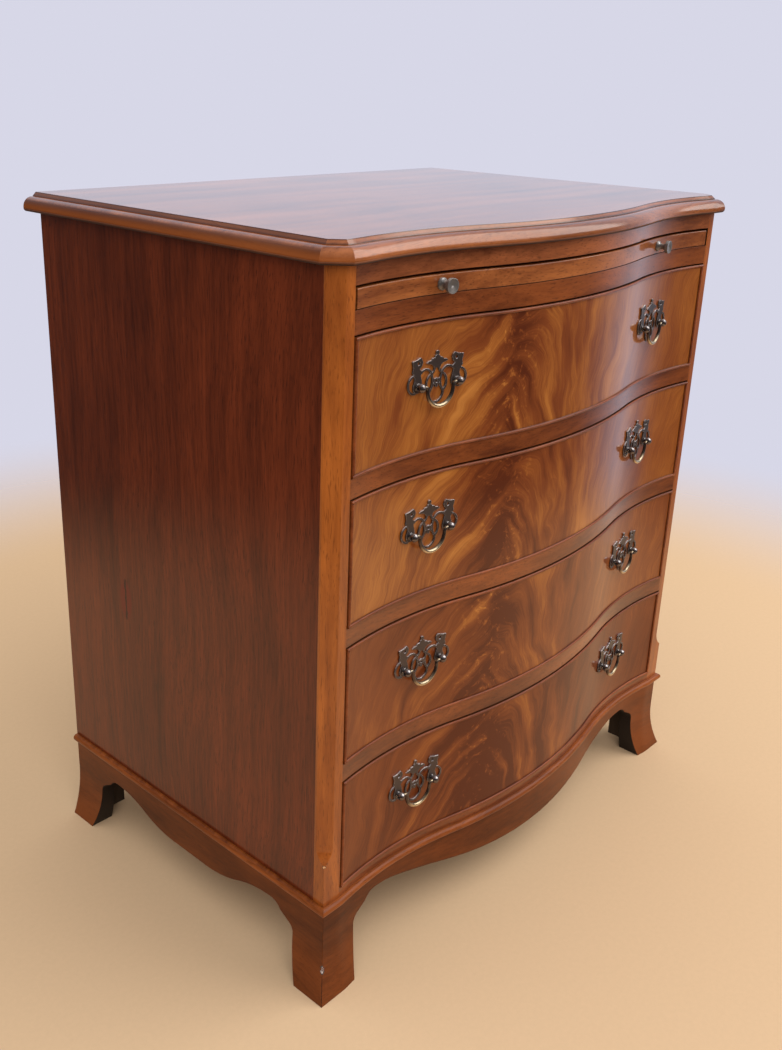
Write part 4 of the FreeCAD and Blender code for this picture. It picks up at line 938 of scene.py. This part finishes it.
@dataclass(frozen=True)
class BronzedBrass:
    """Brass gone dark brown, rubbed bright where fingers and cloths reach it; the same pale colour paints
    highlights on its edges and upper faces.
    """

    name: str
    dark: Colour = (0.076, 0.056, 0.051)
    # pale colour of the rubbed parts, also used as painted highlight on edges and upper faces
    rubbed: Colour = (0.78, 0.72, 0.72)
    wear: float = 1.0
    worn_below: Optional[float] = None          # height below which it is rubbed all over
    gloss: float = 0.34
    sheen: float = 0.6

    MOTTLE: ClassVar[Layer] = Layer(260.0, 4.0, 0.6)
    SPECKS: ClassVar[Layer] = Layer(1500.0)
    EDGE: ClassVar[float] = 0.0008
    UPWARD_BAND: ClassVar[Band] = (0.2, 0.9)
    EDGE_GAIN: ClassVar[float] = 0.9
    MOTTLE_SWING: ClassVar[float] = 0.9
    WORN_AND_LIT_BAND: ClassVar[Band] = (0.25, 1.1)
    # How far the rubbed part fades below and above its height
    FADE: ClassVar[Tuple[float, float]] = (0.006, 0.004)
    FADE_GAIN: ClassVar[Tuple[float, float]] = (0.6, 0.45)
    SPECK_BAND: ClassVar[Band] = (0.6, 0.75)
    SPECK_STRENGTH: ClassVar[float] = 0.45
    SPECK_SHADE: ClassVar[float] = 0.3
    MOTTLE_ROUGHNESS: ClassVar[float] = 0.2
    RUBBED_ROUGHNESS: ClassVar[float] = -0.14
    GLOSS_OFFSET: ClassVar[float] = 0.1
    RELIEF: ClassVar[float] = 0.00004

    def material(self) -> bpy.types.Material:
        """Build the finish: mottled bronzing, wear and painted highlight on edges and on what faces up, and
        brass below a height.

        Returns:
            The finished material.
        """
        shader = Shader(self.name)
        mottle = shader.noise(shader.place, self.MOTTLE)
        speck = shader.noise(shader.place, self.SPECKS)
        under, edge = shader.eased(self.EDGE)
        # Edges and upper faces take the pale colour: partly wear, partly painted highlight.
        worn_and_lit = shader.total(
            shader.rise(shader.normal()[2], *self.UPWARD_BAND), shader.times(edge, self.EDGE_GAIN),
            shader.about(mottle, self.MOTTLE_SWING))
        rubbed = shader.times(shader.rise(worn_and_lit, *self.WORN_AND_LIT_BAND), self.wear)
        if self.worn_below is not None:
            below, above = self.FADE
            low = shader.less(shader.rise(shader.z, self.worn_below - below, self.worn_below + above))
            handled = shader.times(low, shader.scaled(mottle, *self.FADE_GAIN))
            rubbed = shader.math("MAXIMUM", rubbed, handled)
        colour = shader.mix(rubbed, self.dark, self.rubbed)
        spotted = shader.times(shader.rise(speck, *self.SPECK_BAND), self.SPECK_STRENGTH)
        colour = shader.mix(spotted, colour, tinted(self.dark, self.SPECK_SHADE))
        rough = shader.total(
            shader.times(mottle, self.MOTTLE_ROUGHNESS), shader.times(rubbed, self.RUBBED_ROUGHNESS),
            self.gloss - self.GLOSS_OFFSET)
        return shader.surface(
            colour, rough, shader.bump(speck, self.RELIEF, under), Metallic=self.sheen)


def dress(nodes: Iterable[str], material: bpy.types.Material) -> None:
    """Give CAD nodes a material in all their slots.

    Args:
        nodes: names of the nodes.
        material: the material.
    """
    for name in nodes:
        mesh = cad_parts[name].data
        mesh.materials.clear()
        mesh.materials.append(material)
        log.info("%s: %s", name, material.name)


@dataclass
class Carcase:
    """Case of the chest: sides, posts, rails, top, skirts and the hidden work."""

    panel_dark: Colour = (0.058, 0.0094, 0.0028)
    panel_light: Colour = (0.193, 0.034, 0.0085)
    # painted shade for the faces inside the drawer openings
    opening_shade: Colour = (0.026, 0.011, 0.006)
    pine_dark: Colour = (0.26, 0.15, 0.075)
    pine_light: Colour = (0.44, 0.29, 0.16)
    step_foot: float = 0.7955                   # height of the foot of the raised field
    step_shade: Band = (0.0004, 0.0012)          # painted shade line at the foot of the step: height above the foot, and reach
    rim_shade: Band = (0.0042, 0.0005)           # painted shade line at the step's rim: height above the foot, and reach
    nose_shade: Band = (0.7805, 0.0018)          # painted shade line under the nose: height of the nose's lower edge, and reach
    sharp_step: float = 0.001                   # how far below the foot the sharp edges begin
    skirt_front: float = -0.15                  # y before which a skirt's face is polished; forward faces behind it get painted shade
    knot: Mark = Mark((-0.345, 0.112, 0.355), 0.016, 2.2)
    foot_chip: Mark = Mark((-0.3530, -0.2235, 0.014), 0.014, 2.0)
    foot_fleck: Mark = Mark((-0.3475, -0.2180, 0.037), 0.0055, 1.4, (0.60, 0.53, 0.52))
    post_nick: Mark = Mark((-0.3440, -0.2143, 0.167), 0.0028, 1.0, (0.80, 0.42, 0.20))

    def dress(self) -> None:
        """Finish every piece of the case."""
        self.case()
        self.top()
        self.base()
        self.hidden_work()

    def case(self) -> None:
        """Polish the sides, posts and rails."""
        sides = Mahogany(
            "side_mahogany", Grain.UPRIGHT, self.panel_dark, self.panel_light, seed=1.7, ribbon=38.0,
            coat=0.8, figure=0.5, fine=0.58, pored=0.6, knots=(self.knot,))
        dress(("left_side", "right_side"), sides.material())
        # Posts: painted shade darker towards the bottom, and painted shade on the faces inside the openings.
        posts = Mahogany(
            "post_mahogany", Grain.UPRIGHT, (0.22, 0.050, 0.008), (0.50, 0.140, 0.022), seed=4.1,
            ribbon=60.0, chips=(self.post_nick,), stain_and_shade=BEHIND_ALL, hidden_shade=self.opening_shade, low_shade=0.1)
        dress(("left_corner_post", "right_corner_post"), posts.material())
        # Rails: painted shade on the faces inside the drawer openings.
        rails = Mahogany(
            "rail_mahogany", Grain.ACROSS, (0.090, 0.019, 0.005), (0.30, 0.078, 0.017), seed=2.3,
            ribbon=46.0, stretch=9.0, stain_and_shade=BEHIND_ALL, hidden_shade=self.opening_shade)
        dress(("drawer_rails", "slide_rail"), rails.material())
        # The frieze gets a paler copy of the rail mahogany: painted light, making up for the shade under the
        # top's overhang.
        frieze = Mahogany(
            "frieze_mahogany", Grain.ACROSS, (0.115, 0.027, 0.008), (0.43, 0.128, 0.040), seed=2.9,
            ribbon=30.0, stretch=7.0, figure=1.15)
        dress(("frieze_rail",), frieze.material())

    def top(self) -> None:
        """Polish the top, with painted shade lines along the foot of its step, the step's rim and under the
        nose.
        """
        steps = tuple((self.step_foot + above, reach) for above, reach in (self.step_shade, self.rim_shade))
        top = TopMahogany(
            "top_mahogany", Grain.ROUND, (0.11, 0.026, 0.008), (0.42, 0.134, 0.041), seed=6.2, ribbon=34.0,
            stretch=22.0, polish=0.06, relief=0.00001, sharp_above=self.step_foot - self.sharp_step, wear=0.6,
            shade_lines=(*steps, self.nose_shade))
        dress(("top_board",), top.material())

    def base(self) -> None:
        """Polish the skirts with their feet, and the moulding over them."""
        # Skirts: painted shade on the forward faces behind the front, in the arches of the feet.
        skirts = Mahogany(
            "skirt_mahogany", Grain.ROUND, (0.058, 0.0125, 0.003), (0.19, 0.047, 0.010), seed=8.8,
            ribbon=34.0, stretch=6.0, polish=0.2, coat=0.2, pored=0.25,
            chips=(self.foot_chip, self.foot_fleck), stain_and_shade=self.skirt_front, toe=0.22)
        dress(("front_skirt", "left_skirt", "right_skirt"), skirts.material())
        moulding = Mahogany(
            "moulding_mahogany", Grain.ROUND, (0.125, 0.027, 0.005), (0.33, 0.085, 0.016), seed=3.3,
            ribbon=80.0, polish=0.18, coat=0.4)
        dress(("base_moulding",), moulding.material())

    def hidden_work(self) -> None:
        """Leave the runners, back, bottom and brackets bare or stained."""
        runner = BareWood("runner_pine", Grain.DEEP, self.pine_dark, self.pine_light, 0.3)
        dress(("runners",), runner.material())
        back = BareWood("back_pine", Grain.UPRIGHT, (0.15, 0.085, 0.045), (0.27, 0.165, 0.09), 1.1)
        dress(("back_panel",), back.material())
        stain_and_shade = BareWood("stained_pine", Grain.UPRIGHT, (0.020, 0.013, 0.009), (0.045, 0.029, 0.019), 1.9)
        dress(("rear_foot_brackets", "foot_blocks"), stain_and_shade.material())
        dust = BareWood("dust_pine", Grain.ACROSS, self.pine_dark, self.pine_light, 2.9)
        dress(("bottom_board", "drawer_stops"), dust.material())


@dataclass
class Drawer:
    """One drawer with its veneered front, bead, oak box and two handles."""

    number: int
    bead: bpy.types.Material
    oak: Dict[Grain, bpy.types.Material]
    plate: bpy.types.Material
    bolt: bpy.types.Material
    column: float = -0.112                      # x of the veneer's column
    column_step: float = 0.004                  # how far the column moves from drawer to drawer
    downward_shade: float = 0.027                    # painted shade: how fast the veneer darkens downwards from drawer to drawer
    dulling: float = 0.16                       # how much polish each lower drawer has lost
    bail_dark: Colour = (0.10, 0.076, 0.064)
    bail_rubbed: Colour = (0.78, 0.62, 0.40)
    bail_worn: float = 0.35                     # share of a bail's height that fingers rub

    def node(self, piece: str) -> str:
        """Name of one of the drawer's CAD nodes."""
        return f"drawer_{self.number}_{piece}"

    def dress(self) -> None:
        """Finish every piece of the drawer."""
        above = self.number - 1
        low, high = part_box(self.node("front"))
        veneer = FlameVeneer(
            f"flame_veneer_{self.number}", (low.z + high.z) / 2, FLAME_SEEDS[self.number],
            column=self.column + self.column_step * (self.number % 3), depth=self.downward_shade * above ** 2,
            coat=1.0 - self.dulling * above)
        dress((self.node("front"),), veneer.material())
        dress((self.node("cock_bead"),), self.bead)
        dress((self.node("left_side"), self.node("right_side")), self.oak[Grain.DEEP])
        dress((self.node("back"), self.node("bottom")), self.oak[Grain.ACROSS])
        dress((self.node("handle_plates"),), self.plate)
        dress((self.node("handle_bolts"),), self.bolt)
        for hand in HANDS:
            low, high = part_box(self.node(f"{hand}_bail"))
            bail = BronzedBrass(
                f"bail_brass_{self.number}_{hand}", self.bail_dark, self.bail_rubbed, wear=0.7,
                worn_below=low.z + self.bail_worn * (high.z - low.z), gloss=0.24, sheen=0.85)
            dress((self.node(f"{hand}_bail"),), bail.material())


@dataclass
class BrushingSlide:
    """Pull-out board under the top, with its two knobs."""

    def dress(self) -> None:
        """Finish the board and its knobs."""
        board = Mahogany(
            "slide_mahogany", Grain.ACROSS, (0.150, 0.036, 0.010), (0.46, 0.147, 0.038), seed=6.4,
            ribbon=34.0, stretch=8.0, figure=0.95, pored=0.6)
        dress(("brushing_slide",), board.material())
        knobs = BronzedBrass("knob_brass", (0.20, 0.18, 0.17), (0.62, 0.60, 0.58), wear=0.9)
        dress(("slide_knobs",), knobs.material())


@dataclass(frozen=True)
class Lamp:
    """Square soft lamp: its place, what it faces, its width, its watts, and if polish shows it."""

    name: str
    place: Point
    target: Point
    size: float
    power: float
    mirrored: bool
    tint: Colour = (1.0, 0.97, 0.93)

    def build(self) -> None:
        """Hang the lamp."""
        light = bpy.data.lights.new(self.name, "AREA")
        light.size = self.size
        light.energy = self.power
        light.color = self.tint
        lamp = bpy.data.objects.new(self.name, light)
        lamp.visible_glossy = self.mirrored
        aim = (Vector(self.target) - Vector(self.place)).to_track_quat("-Z", "Y")
        lamp.matrix_world = Matrix.Translation(self.place) @ aim.to_matrix().to_4x4()
        bpy.context.scene.collection.objects.link(lamp)


@dataclass
class Studio:
    """Pale floor that fades into a pale backdrop, soft light and the camera."""

    floor_colour: Colour = (0.67, 0.47, 0.295)
    floor_radius: float = 4.0
    floor_turns: int = 96
    floor_rings: int = 24
    fade: Band = (0.95, 1.75)                   # distance over which the floor turns clear
    pile: Layer = Layer(160.0, 4.0, 0.7)
    pile_tint: Tuple[float, float] = (0.95, 1.05)
    backdrop: Colour = (0.68, 0.68, 0.80)
    mirrored: Colour = (0.71, 0.76, 0.92)       # the backdrop as polish shows it
    shade: Colour = (0.060, 0.048, 0.044)       # what polish shows before the chest
    behind: Tuple[float, float] = (0.754, 0.656)  # x and y of the way to the backdrop
    behind_band: Band = (0.30, 0.75)
    ceiling: float = 0.32                       # share of the backdrop that polish shows overhead
    ceiling_band: Band = (0.02, 0.22)
    ceiling_left: Band = (-0.6, 0.0)
    ambient: Tuple[float, float] = (0.27, 0.98)  # strength of the soft light from below and above
    ambient_band: Band = (-0.1, 0.8)
    ambient_tint: Tuple[float, float, float, float] = (1.0, 0.985, 0.96, 1.0)
    key: Lamp = Lamp("key_lamp", (1.9, -2.1, 2.6), (0.0, -0.15, 0.50), 3.4, 78.0, True)
    fill: Lamp = Lamp("fill_lamp", (-1.9, -2.2, 2.6), (-0.2, -0.1, 0.3), 2.4, 34.0, False)
    image: Tuple[int, int] = (782, 1050)
    focal_pixels: float = 1102.9
    principal: Tuple[float, float] = (-40.8, -39.3)
    sensor: float = 36.0
    near_clip: float = 0.02
    eye: Point = (-1.00743, -0.85585, 0.92899)
    right: Point = (0.689244, -0.724081, 0.025490)
    up: Point = (0.236421, 0.258023, 0.936765)

    def build(self) -> None:
        """Set up the whole studio."""
        self.floor()
        self.world()
        self.key.build()
        self.fill.build()
        self.camera()

    def floor(self) -> None:
        """Lay a disc: radius r(v) = R v, angle a(u) = 2 pi u, with the middle ring closed to a point."""
        turns, rings = self.floor_turns, self.floor_rings
        angle = np.linspace(0.0, 2.0 * np.pi, turns, endpoint=False)
        radius = self.floor_radius * np.linspace(0.0, 1.0, rings + 1)[1:]
        ring = np.stack([np.cos(angle), np.sin(angle), np.zeros(turns)], axis=-1)
        points = np.concatenate([np.zeros((1, 3)), (radius[:, None, None] * ring).reshape(-1, 3)])
        here = np.arange(turns)
        after = (here + 1) % turns
        hub = np.stack([np.zeros(turns, int), 1 + here, 1 + after], axis=-1)
        start = 1 + turns * np.arange(rings - 1)[:, None]
        quads = np.stack([start + here, start + turns + here, start + turns + after, start + after], axis=-1)
        mesh = bpy.data.meshes.new("floor")
        mesh.from_pydata(points.tolist(), [], hub.tolist() + quads.reshape(-1, 4).tolist())
        floor = bpy.data.objects.new("floor", mesh)
        bpy.context.scene.collection.objects.link(floor)
        mesh.materials.append(self.floor_finish())

    def floor_finish(self) -> bpy.types.Material:
        """Plain floor that turns clear with distance, so that the backdrop shows.

        Returns:
            The finished material.
        """
        shader = Shader("pale_floor")
        distance = shader.math("POWER", shader.total(
            shader.times(shader.x, shader.x), shader.times(shader.y, shader.y)), 0.5)
        clear = shader.rise(distance, *self.fade)
        pile = shader.noise(shader.place, self.pile)
        colour = shader.mix(pile, *(tinted(self.floor_colour, factor) for factor in self.pile_tint))
        matt = shader.add("ShaderNodeBsdfDiffuse")
        shader.put(matt.inputs["Color"], colour)
        gone = shader.add("ShaderNodeBsdfTransparent")
        blend = shader.add("ShaderNodeMixShader")
        shader.put(blend.inputs[0], clear)
        shader.put(blend.inputs[1], matt.outputs[0])
        shader.put(blend.inputs[2], gone.outputs[0])
        output = shader.add("ShaderNodeOutputMaterial")
        shader.put(output.inputs["Surface"], blend.outputs[0])
        return shader.material

    def world(self) -> None:
        """Soft light, stronger from above; seen or mirrored it is the backdrop, with shade before it."""
        world = bpy.data.worlds.new("studio")
        world.use_nodes = True
        bpy.context.scene.world = world
        nodes = Nodes(world.node_tree)
        path = nodes.add("ShaderNodeLightPath").outputs
        x, y, z = nodes.split(nodes.add("ShaderNodeTexCoord").outputs["Generated"])
        toward = nodes.total(nodes.times(x, self.behind[0]), nodes.times(y, self.behind[1]))
        overhead = nodes.times(nodes.rise(x, *self.ceiling_left), self.ceiling)
        ceiling = nodes.times(nodes.rise(z, *self.ceiling_band), overhead)
        pale = nodes.math("MAXIMUM", path["Is Camera Ray"], ceiling)
        pale = nodes.math("MAXIMUM", nodes.rise(toward, *self.behind_band), pale)
        seen = nodes.add("ShaderNodeBackground")
        wall = nodes.mix(path["Is Camera Ray"], self.mirrored, self.backdrop)
        nodes.put(seen.inputs["Color"], nodes.mix(pale, self.shade, wall))
        soft = nodes.add("ShaderNodeBackground")
        low, high = self.ambient
        nodes.put(soft.inputs["Color"], self.ambient_tint)
        nodes.put(soft.inputs["Strength"], nodes.scaled(nodes.rise(z, *self.ambient_band), high - low, low))
        direct = nodes.math("MAXIMUM", path["Is Camera Ray"], path["Is Glossy Ray"])
        direct = nodes.math("MAXIMUM", direct, path["Is Transmission Ray"])
        blend = nodes.add("ShaderNodeMixShader")
        nodes.put(blend.inputs[0], direct)
        nodes.put(blend.inputs[1], soft.outputs[0])
        nodes.put(blend.inputs[2], seen.outputs[0])
        output = nodes.add("ShaderNodeOutputWorld")
        nodes.put(output.inputs["Surface"], blend.outputs[0])

    def camera(self) -> None:
        """Place the camera where the photograph was taken from, with the same framing."""
        lens = bpy.data.cameras.new("camera")
        lens.sensor_fit = "VERTICAL"
        lens.sensor_height = self.sensor
        lens.lens = self.focal_pixels * self.sensor / self.image[1]
        lens.shift_x = -self.principal[0] / self.image[1]
        lens.shift_y = self.principal[1] / self.image[1]
        lens.clip_start = self.near_clip
        camera = bpy.data.objects.new("camera", lens)
        right, up = Vector(self.right), Vector(self.up)
        turn = Matrix((right, up, right.cross(up))).transposed()
        camera.matrix_world = Matrix.Translation(self.eye) @ turn.to_4x4()
        bpy.context.scene.collection.objects.link(camera)
        bpy.context.scene.camera = camera


def dress_drawers() -> None:
    """Finish the four drawers, which share their bead, oak and handle finishes."""
    # The bead's hidden faces get painted shade: dark brown so it still reads as wood with a drawer open, and
    # dark in the gaps round the closed drawers.
    bead = Mahogany(
        "bead_mahogany", Grain.ACROSS, (0.12, 0.024, 0.007), (0.30, 0.074, 0.018), seed=7.1, ribbon=70.0,
        polish=0.16, coat=0.6, stain_and_shade=BEHIND_ALL, hidden_shade=(0.060, 0.017, 0.006),
        hidden_shade_turn=(0.02, 0.16)).material()
    oak_dark, oak_light = (0.33, 0.195, 0.092), (0.54, 0.36, 0.19)
    oak = {
        grain: BareWood(f"drawer_oak_{grain.value}", grain, oak_dark, oak_light, 0.7).material()
        for grain in (Grain.DEEP, Grain.ACROSS)}
    plate = BronzedBrass("plate_bronze").material()
    bolt = BronzedBrass(
        "bolt_bronze", (0.16, 0.13, 0.12), (0.80, 0.76, 0.74), wear=0.7, gloss=0.18, sheen=0.9).material()
    for number in DRAWERS:
        Drawer(number, bead, oak, plate, bolt).dress()


def main() -> None:
    """Dress the chest and set up the studio."""
    logging.basicConfig(level=logging.INFO)
    bpy.context.scene.view_settings.view_transform = "Standard"
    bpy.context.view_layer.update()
    Carcase().dress()
    dress_drawers()
    BrushingSlide().dress()
    Studio().build()


if __name__ == "__main__":
    main()
